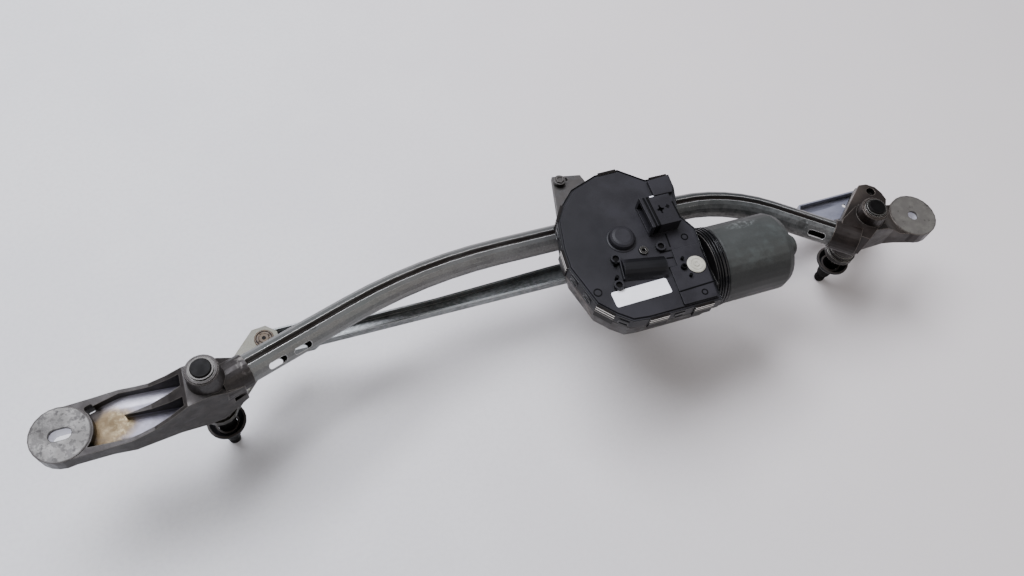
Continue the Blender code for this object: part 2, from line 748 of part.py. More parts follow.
def build_right_housing():
    """Casting with a short arm and an ear; coordinates are measured from the right spindle."""
    top = RIGHT_SHAFT_TOP - RING_BELOW_TOP - RING_THICKNESS - TOP_WASHER_THICKNESS - 3 * GAP
    bottom = RIGHT_BOSS_BOTTOM
    deck = RIGHT_EYE_TOP
    eye_x, eye_y = RIGHT_EYE
    eye_low = deck - EYE_THICKNESS
    housing = piece("right_bearing_housing", turned(boss_profile(bottom, top)), DIE_CAST,
                    (*RIGHT_PIVOT, 0.0))
    eye_reach = RIGHT_EYE_RADIUS - 0.0006
    arm = [*RIGHT_ARM[:3], (eye_x, eye_y + eye_reach), (eye_x, eye_y - eye_reach), *RIGHT_ARM[3:]]
    outer_end = eye_x + REACH
    arm_side = raised(RIGHT_ARM_TOP, deck - PAD_RISE)
    arm_side += [(outer_end, deck - PAD_RISE), (outer_end, eye_low + PAD_RISE)]
    arm_side += raised(RIGHT_ARM_FOOT, deck)
    path = [point - Vector((*RIGHT_PIVOT, 0.0)) for point in reversed(tube_path())]
    arm_part = piece("right_arm_blank", prism([arm], deck - REACH, deck + REACH), DIE_CAST,
                     housing.location)
    combine(arm_part, prism([arm_side], -2 * REACH, 2 * REACH, "XZ"), "INTERSECT")
    arm_solid = mesh_of(arm_part)
    join(
        housing,
        arm_solid,
        moved(turned(rod_profile(RIGHT_EYE_RADIUS, eye_low, deck)), (eye_x, eye_y, 0.0)),
        prism([RIGHT_EAR], deck + RIGHT_EAR_RISE[0], deck + RIGHT_EAR_RISE[1]),
        prism([RIGHT_WEB], deck + RIGHT_WEB_RISE[0], deck + RIGHT_WEB_RISE[1]),
        tube_clearance(path, RIGHT_SOCKET_WALL, -RIGHT_SOCKET_ROOT, RIGHT_SOCKET_MOUTH),
    )
    recess_floor = deck + RIGHT_EAR_RISE[0] + 0.0025
    cut(
        housing,
        moved(turned(rod_profile(RIGHT_HOLE_RADIUS, deck - REACH, deck + REACH)), (eye_x, eye_y, 0.0)),
        moved(turned(rod_profile(RIGHT_EAR_RECESS_RADIUS, recess_floor, deck + REACH)),
              (*RIGHT_EAR_RECESS, 0.0)),
        bore_mesh(bottom, top),
        tube_clearance(path, GAP),
    )
    finish(housing)
    return housing


def stud_profile(top):
    """Spindle: threaded stud, cone, shaft and ring groove, from its top down."""
    groove_top = top - RING_BELOW_TOP
    groove_low = groove_top - RING_THICKNESS - GAP
    inner = SHAFT_RADIUS - RING_DEPTH
    cone_start = STUD_LENGTH
    cone_end = STUD_LENGTH + CONE_LENGTH
    return [
        (0.0, top), (SHAFT_RADIUS - 0.0006, top), (SHAFT_RADIUS, top - 0.0005),
        (SHAFT_RADIUS, groove_top), (inner, groove_top), (inner, groove_low),
        (SHAFT_RADIUS, groove_low), (SHAFT_RADIUS, cone_end),
        (SHAFT_RADIUS - CONE_TAPER, cone_start), (STUD_RADIUS, cone_start - 0.0008),
        (STUD_RADIUS, 0.0012), (STUD_RADIUS - 0.0012, 0.0), (0.0, 0.0),
    ]


def cap_profile(rim):
    """Dish-shaped rain cap, open upwards, with a collar on the shaft."""
    inner = SHAFT_RADIUS + GAP
    collar = inner + 0.0016
    foot = rim - CAP_HEIGHT
    return [
        (CAP_RIM_RADIUS, rim), (CAP_RIM_RADIUS, rim - 0.0016),
        (CAP_RIM_RADIUS - 0.0030, foot + 0.0040), (collar + 0.0006, foot), (inner, foot),
        (inner, foot + 0.0050), (collar, foot + 0.0050), (collar + 0.0004, foot + 0.0030),
        (CAP_RIM_RADIUS - 0.0030 - CAP_WALL * 0.6, foot + 0.0040 + CAP_WALL),
        (CAP_RIM_RADIUS - CAP_WALL, rim),
    ]


def build_spindle_set(side, pivot, shaft_top, boss_bottom, cap_rim, lever_low, empty):
    """Everything that turns with one spindle, and the bushes that carry it."""
    ring_top = shaft_top - RING_BELOW_TOP - GAP / 2
    ring_low = ring_top - RING_THICKNESS + GAP / 2
    washer_top = ring_low - GAP
    washer_low = washer_top - TOP_WASHER_THICKNESS
    boss_top = washer_low - GAP
    ring_inner = SHAFT_RADIUS - RING_DEPTH + GAP
    inner = SHAFT_RADIUS + GAP
    piece(f"{side}_spindle", turned(stud_profile(shaft_top), 20), DARK_STEEL, parent=empty)
    piece(f"{side}_retaining_ring",
          turned(ring_profile(ring_inner, SHAFT_RADIUS + RING_WIDTH, ring_low, ring_top),
                 closed=True), BRIGHT_STEEL, parent=empty)
    piece(f"{side}_top_washer",
          turned(ring_profile(inner, SHAFT_RADIUS + TOP_WASHER_WIDTH, washer_low, washer_top),
                 closed=True), BRIGHT_STEEL, parent=empty)
    hub_top = boss_bottom - WASHER_THICKNESS - 2 * GAP
    piece(f"{side}_thrust_washer",
          turned(ring_profile(inner, BOSS_BORE + BOSS_TOP_WALL, hub_top + GAP,
                              hub_top + GAP + WASHER_THICKNESS), closed=True),
          BRIGHT_STEEL, parent=empty)
    piece(f"{side}_rain_cap", turned(cap_profile(cap_rim), closed=True), BLACK_RUBBER, parent=empty)
    low_bush = ring_profile(inner, BUSH_RADIUS, boss_bottom, boss_bottom + BUSH_LENGTH)
    high_bush = ring_profile(inner, BUSH_RADIUS, boss_top - BUSH_LENGTH, boss_top)
    piece(f"{side}_lower_bush", turned(low_bush, closed=True), BRONZE, (*pivot, 0.0))
    piece(f"{side}_upper_bush", turned(high_bush, closed=True), BRONZE, (*pivot, 0.0))
    return hub_top


def ball_stud_profile(ball, seat, grip):
    """Ball on a neck, its shank through a plate and a staked head over the plate."""
    count = 6
    neck = math.asin(BALL_NECK_RADIUS / BALL_RADIUS)
    head = grip + GAP
    points = [
        (0.0, head + RIVET_CENTRE_HEIGHT), (RIVET_CENTRE_RADIUS - 0.0008, head + RIVET_CENTRE_HEIGHT),
        (RIVET_CENTRE_RADIUS, head + RIVET_HEIGHT), (RIVET_RADIUS - 0.0006, head + RIVET_HEIGHT),
        (RIVET_RADIUS, head + RIVET_HEIGHT / 2), (RIVET_RADIUS, head), (BALL_NECK_RADIUS, head),
        (BALL_NECK_RADIUS, seat),
    ]
    for index in range(count + 1):
        angle = neck + (math.pi - neck) * index / count
        points.append((BALL_RADIUS * math.sin(angle), ball + BALL_RADIUS * math.cos(angle)))
    points[-1] = (0.0, ball - BALL_RADIUS)
    return points


def lever_outline(length):
    """Round hub, parallel edges and a chamfered tip."""
    half = min(LEVER_HALF_WIDTH, LEVER_HUB_RADIUS)
    lean = math.degrees(math.asin(half / LEVER_HUB_RADIUS))
    shoulder = length + LEVER_SHOULDER_PAST_STUD
    tip = length + LEVER_TIP_PAST_STUD
    return arc((0.0, 0.0), LEVER_HUB_RADIUS, lean, 360 - lean, 10) + [
        (shoulder, -half), (tip, -LEVER_TIP_HALF_WIDTH), (tip, LEVER_TIP_HALF_WIDTH), (shoulder, half),
    ]


def build_lever(side, length, angle, low, hub_top, empty):
    """Pressed lever with a raised hub round the spindle and a ball stud staked in its tip."""
    high = low + LEVER_THICKNESS
    lever = piece(f"{side}_lever", prism([lever_outline(length)], low, high), PALE_ZINC, turn=angle,
                  parent=empty)
    if hub_top > high + GAP:
        join(lever, turned(rod_profile(LEVER_HUB_RADIUS - 0.0015, low + 0.001, hub_top)))
    cut(
        lever,
        turned(rod_profile(SHAFT_RADIUS + GAP, low - REACH, hub_top + REACH)),
        moved(turned(rod_profile(BALL_NECK_RADIUS + GAP, low - REACH, high + REACH)), (length, 0.0, 0.0)),
    )
    finish(lever)
    tip = (length * math.cos(angle), length * math.sin(angle), 0.0)
    piece(f"{side}_lever_ball_stud", turned(ball_stud_profile(low - BALL_DROP, low, high), SMALL_STEPS),
          DARK_STEEL, tip, parent=empty)


def socket_profile(opening):
    """Plastic ball cup about its ball's centre; opening is +1 for a ball from above, or -1."""
    cavity = BALL_RADIUS + GAP
    outer = cavity + SOCKET_WALL
    lip = SOCKET_LIP
    base = cavity + SOCKET_BASE
    web_low = -ROD_BELOW_BALL
    count = 5
    start = math.acos(lip / cavity)
    hollow = []
    for index in range(count + 1):
        angle = start + (math.pi - start) * index / count
        hollow.append((cavity * math.sin(angle), cavity * math.cos(angle)))
    hollow[-1] = (0.0, -cavity)
    if opening > 0:
        outside = [
            (outer - 0.0008, lip), (outer, lip - 0.0006), (outer, web_low - GAP),
            (outer + SOCKET_FLANGE, web_low - GAP), (outer + SOCKET_FLANGE, web_low - GAP - 0.0012),
            (outer - 0.0015, -base + 0.0008), (outer - 0.0030, -base), (0.0, -base),
        ]
        return list(reversed(hollow)), outside
    web_high = web_low + ROD_SHEET
    hollow = [(radius, -height) for radius, height in hollow]
    outside = [
        (0.0, base), (outer - 0.0030, base), (outer - 0.0015, base - 0.0008),
        (outer + SOCKET_FLANGE, web_high + GAP + 0.0012), (outer + SOCKET_FLANGE, web_high + GAP),
        (outer, web_high + GAP), (outer, -lip + 0.0006), (outer - 0.0008, -lip),
    ]
    return hollow, outside


def socket_mesh(opening):
    """The cup's wall runs down outside and back up through its hollow."""
    hollow, outside = socket_profile(opening)
    if opening > 0:
        return turned(hollow + outside, SMALL_STEPS)
    return turned(outside + hollow, SMALL_STEPS)


def rod_stations(length, wide, wide_length, narrow):
    """Places along the pressed rod, lever end at 0, each with its near and far edge."""
    near, far = wide
    slim_near, slim_far = narrow
    stations = []
    for angle in (-80, -58, -32, -8):
        share = math.cos(math.radians(angle))
        stations.append((ROD_PAD_RADIUS * math.sin(math.radians(angle)), near * share, far * share))
    stations += [
        (wide_length, near, far), (wide_length + ROD_STEP, slim_near, slim_far),
        ((wide_length + length - ROD_PAD_START) / 2, slim_near, slim_far),
        (length - ROD_PAD_START, slim_near, slim_far + ROD_WIDENING),
        (length - ROD_PAD_START / 2, slim_near, slim_far + ROD_WIDENING),
    ]
    for angle in (-45, -15, 20, 50, 76):
        half = ROD_PAD_RADIUS * math.cos(math.radians(angle))
        if angle < 0:
            half = ROD_PAD_RADIUS * math.cos(math.radians(angle / 3))
        stations.append((length + ROD_PAD_RADIUS * math.sin(math.radians(angle)), half, half))
    return stations


def rod_skin(stations, far_side):
    """Underside skin of the channel: a web with both flanges turned up and the ends closed."""
    work = bmesh.new()
    rows = []
    low = -ROD_BELOW_BALL
    high = ROD_ABOVE_BALL
    for along, near, far in stations:
        edges = (-near, far) if far_side > 0 else (-far, near)
        places = ((edges[0], high), (edges[0], low), (0.0, low), (edges[1], low), (edges[1], high))
        rows.append([work.verts.new((along, across, up)) for across, up in places])
    for first, second in zip(rows, rows[1:]):
        for place in range(4):
            work.faces.new((first[place], first[place + 1], second[place + 1], second[place]))
    for row in (rows[0], rows[-1]):
        work.faces.new((row[0], row[1], row[2], row[3], row[4]))
    bmesh.ops.recalc_face_normals(work, faces=work.faces)
    mesh = bpy.data.meshes.new("rod_skin")
    work.to_mesh(mesh)
    work.free()
    return mesh


def crank_ball_profile():
    """Ball with a flat towards the crank's neck; the flat is the profile's top."""
    flat = CRANK_TO_BALL - CRANK_NECK - GAP
    start = math.acos(flat / BALL_RADIUS)
    count = 6
    points = [(0.0, flat)]
    for index in range(count + 1):
        turn = start + (math.pi - start) * index / count
        points.append((BALL_RADIUS * math.sin(turn), BALL_RADIUS * math.cos(turn)))
    points[-1] = (0.0, -BALL_RADIUS)
    return points


def build_rod(side, stations, length, angle, tip, height, crank_opening, far_side, empty):
    """Pressed channel rod, its two ball cups, and the ball that it keeps at the crank."""
    rod = piece(f"{side}_drive_rod", rod_skin(stations, far_side), GALVANISED, (*tip, height), angle, empty)
    wall = rod.modifiers.new("wall", "SOLIDIFY")
    wall.thickness = ROD_SHEET
    wall.offset = -1.0
    hole = BALL_RADIUS + GAP + SOCKET_WALL + GAP
    cut(
        rod,
        turned(rod_profile(hole, -REACH, REACH)),
        moved(turned(rod_profile(hole, -REACH, REACH)), (length, 0.0, 0.0)),
        moved(turned(rod_profile(0.0022, -REACH, REACH), steps=12), (0.0165, -0.0035, 0.0)),
    )
    finish(rod)
    direction = Vector((math.cos(angle), math.sin(angle)))
    far = (tip[0] + direction.x * length, tip[1] + direction.y * length, height)
    piece(f"{side}_rod_lever_socket", socket_mesh(1), NATURAL_PLASTIC, (*tip, height), parent=empty)
    piece(f"{side}_rod_crank_socket", socket_mesh(crank_opening), NATURAL_PLASTIC, far, parent=empty)
    points = crank_ball_profile()
    if crank_opening < 0:
        points = [(radius, -up) for radius, up in reversed(points)]
    piece(f"{side}_rod_crank_ball", turned(points, SMALL_STEPS), DARK_STEEL, far, parent=empty)


def build_crank(empty):
    """Crank, its double stud, nut, output shaft and worm wheel, all round the output axis."""
    low = CRANK_HEIGHT - CRANK_THICKNESS / 2
    high = CRANK_HEIGHT + CRANK_THICKNESS / 2
    hub_low = CRANK_HEIGHT - CRANK_HUB_HEIGHT / 2
    hub_high = CRANK_HEIGHT + CRANK_HUB_HEIGHT / 2
    crank = piece("motor_crank",
                  prism([tapered_link(CRANK_RADIUS, CRANK_HUB_RADIUS, CRANK_TIP_RADIUS)], low, high),
                  DARK_STEEL, turn=CRANK_REST_ANGLE, parent=empty)
    join(crank, turned(rod_profile(CRANK_HUB_RADIUS - 0.0008, hub_low, hub_high)))
    cut(
        crank,
        turned(rod_profile(OUTPUT_SHAFT_RADIUS + GAP, hub_low - REACH, hub_high + REACH)),
        moved(turned(rod_profile(BALL_NECK_RADIUS + GAP, low - REACH, high + REACH)),
              (CRANK_RADIUS, 0.0, 0.0)),
    )
    finish(crank)
    pin = (CRANK_RADIUS * math.cos(CRANK_REST_ANGLE), CRANK_RADIUS * math.sin(CRANK_REST_ANGLE), 0.0)
    neck = BALL_NECK_RADIUS
    collar = neck + 0.0016
    reach = CRANK_NECK
    shoulder = reach * 0.45
    edge = reach * 0.33
    stud = [
        (0.0, high + reach), (neck, high + reach), (neck, high + shoulder), (collar, high + edge),
        (collar, high + GAP), (neck, high + GAP), (neck, low - GAP), (collar, low - GAP),
        (collar, low - edge), (neck, low - shoulder), (neck, low - reach), (0.0, low - reach),
    ]
    piece("crank_double_stud", turned(stud, SMALL_STEPS), BRIGHT_STEEL, pin, parent=empty)
    wheel_low = MOTOR_AXIS_HEIGHT - WHEEL_THICKNESS / 2
    wheel_high = MOTOR_AXIS_HEIGHT + WHEEL_THICKNESS / 2
    wheel_radius = WORM_OFFSET - WORM_RADIUS - GAP
    shaft_low = hub_low - NUT_HEIGHT - 0.0015
    shaft_high = wheel_high + 0.0045
    slim = OUTPUT_SHAFT_RADIUS - 0.001
    shaft = [
        (0.0, shaft_high), (OUTPUT_SHAFT_RADIUS - 0.0006, shaft_high),
        (OUTPUT_SHAFT_RADIUS, shaft_high - 0.0006), (OUTPUT_SHAFT_RADIUS, hub_low + 0.001),
        (slim, hub_low + 0.0005), (slim, shaft_low + 0.0006), (slim - 0.0006, shaft_low),
        (0.0, shaft_low),
    ]
    piece("output_shaft", turned(shaft), BRIGHT_STEEL, parent=empty)
    wheel_bore = OUTPUT_SHAFT_RADIUS + GAP
    outline = []
    for index in range(WHEEL_TEETH * 2):
        radius = wheel_radius if index % 2 == 0 else wheel_radius - TOOTH_DEPTH
        angle = math.pi * index / WHEEL_TEETH
        outline.append((radius * math.cos(angle), radius * math.sin(angle)))
    bore = arc((0.0, 0.0), wheel_bore, 0, 360 - 15, 23)
    piece("worm_wheel", prism([outline, bore], wheel_low, wheel_high), NATURAL_PLASTIC, parent=empty)
    nut = arc((0.0, 0.0), NUT_ACROSS_FLATS / math.sqrt(3), 0, 300, 5)
    nut_bore = arc((0.0, 0.0), slim + GAP, 0, 345, 23)
    piece("crank_nut", prism([nut, nut_bore], hub_low - GAP - NUT_HEIGHT, hub_low - GAP),
          BRIGHT_STEEL, parent=empty)


def build_gear_housing():
    """Open-topped casting: pan, motor neck, output boss, saddle ribs on the tube and a tab."""
    outline = list(GEAR_OUTLINE)
    top = COVER_BOTTOM - GAP
    floor = FLOOR_UNDERSIDE
    rim_low = top - RIM_THICKNESS
    pan = drafted(inset(outline, HOUSING_DRAFT), inset(outline, COVER_LIP), floor, top - 0.001)
    housing = piece("gear_housing", pan, DIE_CAST, (*OUTPUT_AXIS, 0.0))
    axis = (0.0, -WORM_OFFSET, MOTOR_AXIS_HEIGHT)
    neck_end = CAN_START - FLANGE_LENGTH - GAP
    neck = turned(rod_profile(CAN_RADIUS - 0.002, 0.022, neck_end), CAN_STEPS, axis="X", centre=axis)
    below_cover = [(-0.1, -0.2), (0.2, -0.2), (0.2, 0.2), (-0.1, 0.2)]
    neck_part = piece("neck_blank", neck, DIE_CAST, housing.location)
    combine(neck_part, prism([below_cover], MOTOR_AXIS_HEIGHT - 2 * REACH, top), "INTERSECT")
    collar = turned(rod_profile(CAN_RADIUS - 0.0014, neck_end - COLLAR_LENGTH, neck_end), CAN_STEPS,
                    axis="X", centre=axis)
    boss_low = OUTPUT_BOSS_BOTTOM
    boss = turned([
        (0.0, floor + 0.002), (OUTPUT_BOSS_RADIUS + 0.006, floor + 0.002),
        (OUTPUT_BOSS_RADIUS + 0.003, floor - 0.010), (OUTPUT_BOSS_RADIUS, boss_low + 0.010),
        (OUTPUT_BOSS_RADIUS - 0.001, boss_low), (0.0, boss_low),
    ])
    tube_y = TUBE_RUN_ASIDE - MOTOR_ASIDE
    rib_near = tube_y - TUBE_RADIUS - SADDLE_WALL
    rib_far = tube_y + TUBE_RADIUS + SADDLE_WALL
    ribs = []
    for along in SADDLE_RIBS:
        low_x = along - RIB_HALF_THICKNESS
        high_x = along + RIB_HALF_THICKNESS
        ribs.append(prism([[
            (low_x, rib_near), (high_x, rib_near), (high_x, rib_far), (low_x, rib_far),
        ]], TUBE_RUN_HEIGHT - 0.001, floor + 0.002))
    tab = prism([TAB_OUTLINE], floor, floor + TAB_THICKNESS)
    root = prism([inset(outline, HOUSING_DRAFT - TAB_ROOT)], floor + TAB_ROOT_RISE,
                 floor + TAB_THICKNESS + TAB_ROOT_RISE)
    root_part = piece("root_blank", root, DIE_CAST, housing.location)
    combine(root_part, prism([TAB_ROOT_SIDES], floor - REACH, floor + REACH), "INTERSECT")
    rim = prism([inset(outline, 0.0002)], rim_low, top)
    join(housing, rim, mesh_of(neck_part), collar, boss, *ribs, tab, mesh_of(root_part))
    cavity = drafted(inset(outline, HOUSING_DRAFT + HOUSING_WALL), inset(outline, COVER_LIP + HOUSING_WALL),
                     floor + HOUSING_FLOOR, top + 0.001)
    tube_bar = turned(rod_profile(TUBE_RADIUS + GAP, -0.10, 0.12), axis="X",
                      centre=(0.0, tube_y, TUBE_RUN_HEIGHT))
    worm_bore = turned(rod_profile(WORM_RADIUS + 0.004, 0.0, neck_end + REACH), axis="X", centre=axis)
    cut(
        housing,
        cavity,
        turned(rod_profile(OUTPUT_SHAFT_RADIUS + GAP, boss_low - REACH, floor + REACH)),
        tube_bar,
        worm_bore,
        moved(turned(rod_profile(TAB_BOLT_RADIUS + GAP, floor - REACH, floor + REACH), steps=16),
              (*TAB_BOLT, 0.0)),
        moved(turned(rod_profile(0.0018, floor - REACH, floor + REACH), steps=12),
              (*TAB_SMALL_HOLE, 0.0)),
    )
    finish(housing)
    seat = floor + TAB_THICKNESS + GAP
    head_radius, head_height = TAB_BOLT_HEAD
    bolt = [
        (0.0, seat + head_height), (head_radius, seat + head_height), (head_radius, seat),
        (TAB_BOLT_RADIUS, seat), (TAB_BOLT_RADIUS, floor - 0.0045), (0.0, floor - 0.0045),
    ]
    piece("tab_bolt", turned(bolt, steps=16), DARK_STEEL,
          (OUTPUT_AXIS[0] + TAB_BOLT[0], OUTPUT_AXIS[1] + TAB_BOLT[1], 0.0))
    return housing


def dome_profile(foot):
    """Flat-topped disc with a rounded edge."""
    rise = DOME_HEIGHT
    edge = [(DOME_RADIUS * 0.62 + DOME_RADIUS * 0.38 * math.sin(math.radians(turn)),
             foot + rise - rise * 0.55 * (1 - math.cos(math.radians(turn)))) for turn in (0, 30, 60, 90)]
    return [(0.0, foot + rise), *edge, (DOME_RADIUS + 0.0006, foot - 0.001), (0.0, foot - 0.001)]


def build_gear_cover():
    """Black moulding: skirt, panel, dome near the output shaft, bulge, steps and screw bosses."""
    outline = list(GEAR_OUTLINE)
    low = COVER_BOTTOM
    top = COVER_TOP
    cover = piece("gear_cover", prism([outline], low, top - COVER_LIP), BLACK_PLASTIC,
                  (*OUTPUT_AXIS, 0.0))
    panel = drafted(inset(outline, COVER_LEDGE), inset(outline, COVER_LEDGE + 0.0008),
                    top - 2 * COVER_LIP, top)
    bulge = prism([arc((0.0, 0.0), BULGE_RADIUS, 0, 180, 10)], -BULGE_LENGTH / 2, BULGE_LENGTH / 2)
    bulge.transform(Matrix(((0, 0, 1, 0), (1, 0, 0, 0), (0, 1, 0, 0), (0, 0, 0, 1))))
    bulge.transform(Matrix.Rotation(BULGE_TURN, 4, "Z"))
    join(
        cover,
        panel,
        moved(turned(dome_profile(top)), (*DOME_PLACE, 0.0)),
        moved(bulge, (*BULGE_PLACE, top - 0.003)),
        prism([STEP_OUTLINE], top - 0.001, top + STEP_HEIGHT),
        prism([BLOCK_OUTLINE], top - 0.001, top + BLOCK_HEIGHT),
    )
    seat = top - 0.0008
    for place in COVER_SCREWS:
        join(cover, moved(turned(rod_profile(SCREW_BOSS_RADIUS, top - 0.001, top + SCREW_BOSS_HEIGHT),
                                 steps=16), (*place, 0.0)))
    cut(cover, prism([inset(outline, COVER_WALL + COVER_LEDGE)], low - REACH, top - COVER_WALL))
    for place in COVER_SCREWS:
        cut(
            cover,
            moved(turned(rod_profile(SCREW_HEAD_RADIUS + GAP, seat, top + REACH), steps=16), (*place, 0.0)),
            moved(turned(rod_profile(SCREW_SHANK_RADIUS + GAP, low, top + REACH), steps=12), (*place, 0.0)),
        )
    cut(
        cover,
        moved(turned(rod_profile(SLEEVE_RADIUS + GAP, low, top + REACH), steps=20), (*SLEEVE_PLACE, 0.0)),
        moved(turned(rod_profile(PLUG_STEM_RADIUS + GAP, low, top + REACH), steps=20), (*PLUG_PLACE, 0.0)),
    )
    finish(cover)
    return cover


def build_cover_fittings():
    """Sunk screws, bright sleeve and white vent plug in the cover."""
    top = COVER_TOP
    seat = top - 0.0008 + GAP
    screw = turned([
        (0.0, seat + 0.0018), (SCREW_HEAD_RADIUS, seat + 0.0018), (SCREW_HEAD_RADIUS, seat),
        (SCREW_SHANK_RADIUS, seat), (SCREW_SHANK_RADIUS, top - SCREW_LENGTH), (0.0, top - SCREW_LENGTH),
    ], steps=12)
    for number, place in enumerate(COVER_SCREWS, 1):
        piece(f"cover_screw_{number}", screw.copy(), DARK_STEEL,
              (OUTPUT_AXIS[0] + place[0], OUTPUT_AXIS[1] + place[1], 0.0))
    sleeve = ring_profile(SLEEVE_BORE, SLEEVE_RADIUS, top - 0.005, top + 0.0018)
    piece("locating_sleeve", moved(turned(sleeve, steps=20, closed=True), (*SLEEVE_PLACE, 0.0)),
          BRIGHT_STEEL, (*OUTPUT_AXIS, 0.0))
    plug_low = top + STEP_HEIGHT + GAP
    plug = [
        (0.0, plug_low + 0.0012), (PLUG_RADIUS - 0.0010, plug_low + 0.0012),
        (PLUG_RADIUS, plug_low + 0.0006), (PLUG_RADIUS, plug_low), (PLUG_STEM_RADIUS, plug_low),
        (PLUG_STEM_RADIUS, top - 0.0040), (0.0, top - 0.0040),
    ]
    piece("vent_plug", moved(turned(plug, steps=28), (*PLUG_PLACE, 0.0)), WHITE_PLASTIC,
          (*OUTPUT_AXIS, 0.0))


def rectangle(low_x, low_y, high_x, high_y):
    return [(low_x, low_y), (high_x, low_y), (high_x, high_y), (low_x, high_y)]


def build_connector():
    """Plug housing on the cover, its mouth towards -X."""
    base = COVER_TOP + GAP
    length, width, height = CONNECTOR_SIZE
    x, y = CONNECTOR_LOW
    box = prism([rectangle(x, y, x + length, y + width)], base, base + height)
    connector = piece("connector_housing", box, BLACK_PLASTIC, (*OUTPUT_AXIS, 0.0))
    wall = CONNECTOR_WALL
    lip = CONNECTOR_FLANGE
    join(connector, prism([rectangle(x - 0.0004, y - lip, x + 0.0022, y + width + lip)],
                          base, base + height + lip))
    cut(connector, prism([rectangle(x - REACH, y + wall, x + CONNECTOR_DEPTH, y + width - wall)],
                         base + wall, base + height - wall))
    return connector


def build_clips():
    """Spring clips that hold the cover's rim to the housing's, one solid each."""
    outline = list(GEAR_OUTLINE)
    hook_high = COVER_BOTTOM - GAP - RIM_THICKNESS - GAP
    low = hook_high - CLIP_SHEET
    lip_low = COVER_TOP - COVER_LIP + GAP
    high = lip_low + CLIP_SHEET
    near = GAP
    far = GAP + CLIP_SHEET
    section = [
        (far, low), (far, high), (-CLIP_HOOK, high), (-CLIP_HOOK, lip_low), (near, lip_low),
        (near, hook_high), (-CLIP_HOOK + 0.0002, hook_high), (-CLIP_HOOK + 0.0002, low),
    ]
    for number, (edge, share) in enumerate(CLIP_PLACES, 1):
        start = Vector(outline[edge])
        end = Vector(outline[(edge + 1) % len(outline)])
        along = (end - start).normalized()
        out = Vector((along.y, -along.x))
        if out.dot(start + end) < 0:
            out = -out
        middle = start.lerp(end, share)
        clip = prism([section], -CLIP_LENGTH / 2, CLIP_LENGTH / 2)
        frame = Matrix(((out.x, 0, along.x, middle.x), (out.y, 0, along.y, middle.y), (0, 1, 0, 0),
                        (0, 0, 0, 1)))
        clip.transform(frame)
        if frame.determinant() < 0:
            clip.flip_normals()
        piece(f"cover_clip_{number}", clip, BRIGHT_STEEL, (*OUTPUT_AXIS, 0.0))


def build_motor():
    """Flange ring, drawn can and the magnets inside it, along the armature's axis."""
    centre = (0.0, -WORM_OFFSET, MOTOR_AXIS_HEIGHT)
    place = (*OUTPUT_AXIS, 0.0)
    ring_start = CAN_START - FLANGE_LENGTH
    ring_end = CAN_START - GAP
    flange = [
        (FLANGE_RADIUS - 0.0006, ring_end), (FLANGE_RADIUS, ring_end - 0.0006),
        (FLANGE_RADIUS, ring_end - 0.0016), (FLANGE_RADIUS - 0.0010, ring_end - 0.0022),
        (FLANGE_RADIUS - 0.0010, ring_start + 0.0009), (FLANGE_RADIUS - 0.0018, ring_start),
        (FLANGE_BORE, ring_start), (FLANGE_BORE, ring_end),
    ]
    piece("motor_flange", turned(flange, CAN_STEPS, closed=True, axis="X", centre=centre),
          BLACK_PLASTIC, place)
    start = CAN_START
    end = CAN_START + CAN_LENGTH
    nose = end + CAN_NOSE_LENGTH
    r = CAN_RADIUS
    w = CAN_WALL
    can = [
        (0.0, nose), (CAN_NOSE_RADIUS - 0.0014, nose), (CAN_NOSE_RADIUS - 0.0002, nose - 0.0014),
        (CAN_NOSE_RADIUS, end), (r - 0.0092, end), (r - 0.0074, end - 0.0012),
        (r - 0.0030, end - CAN_SHOULDER * 0.4), (r, end - CAN_SHOULDER), (r, start + 0.0020),
        (r + 0.0004, start + 0.0016), (r + 0.0004, start), (r - w, start),
        (r - w, end - CAN_SHOULDER - 0.0010), (r - 0.0105, end - w), (0.0, end - w),
    ]
    piece("motor_can", turned(can, CAN_STEPS, axis="X", centre=centre), CAN_PAINT, place)
    outer = r - w - GAP
    inner = outer - MAGNET_THICKNESS
    half = MAGNET_HALF_ANGLE
    for name, middle in (("front", 90), ("rear", 270)):
        shape = arc((0.0, 0.0), outer, middle - half, middle + half, 10)
        shape += arc((0.0, 0.0), inner, middle + half, middle - half, 10)
        block = prism([shape], start + MAGNET_INSET[0], end - MAGNET_INSET[1])
        block.transform(Matrix.Rotation(math.radians(90), 4, "Y"))
        piece(f"motor_magnet_{name}", moved(block, centre), FERRITE, place)


def lever_tip(pivot, length, angle):
    return Vector((pivot[0] + length * math.cos(angle), pivot[1] + length * math.sin(angle)))


def crank_pin(angle):
    return lever_tip(OUTPUT_AXIS, CRANK_RADIUS, angle)


def build_side(side, pivot, shaft_top, boss_bottom, cap_rim, lever_low, length, angle):
    """Spindle set and lever of one side; gives back the lever's tip."""
    empty = pivot_empty(f"{side}_spindle_axis", pivot)
    hub_top = build_spindle_set(side, pivot, shaft_top, boss_bottom, cap_rim, lever_low, empty)
    build_lever(side, length, angle, lever_low, hub_top, empty)
    return lever_tip(pivot, length, angle)


def build_drive(side, tip, height, opening, wide, wide_length, narrow, far_side):
    """Rod from a lever's tip to the crank's pin at rest."""
    reach = crank_pin(CRANK_REST_ANGLE) - tip
    stations = rod_stations(reach.length, wide, wide_length, narrow)
    empty = pivot_empty(f"{side}_rod_axis", (tip.x, tip.y))
    build_rod(side, stations, reach.length, math.atan2(reach.y, reach.x), (0.0, 0.0), height, opening,
              far_side, empty)


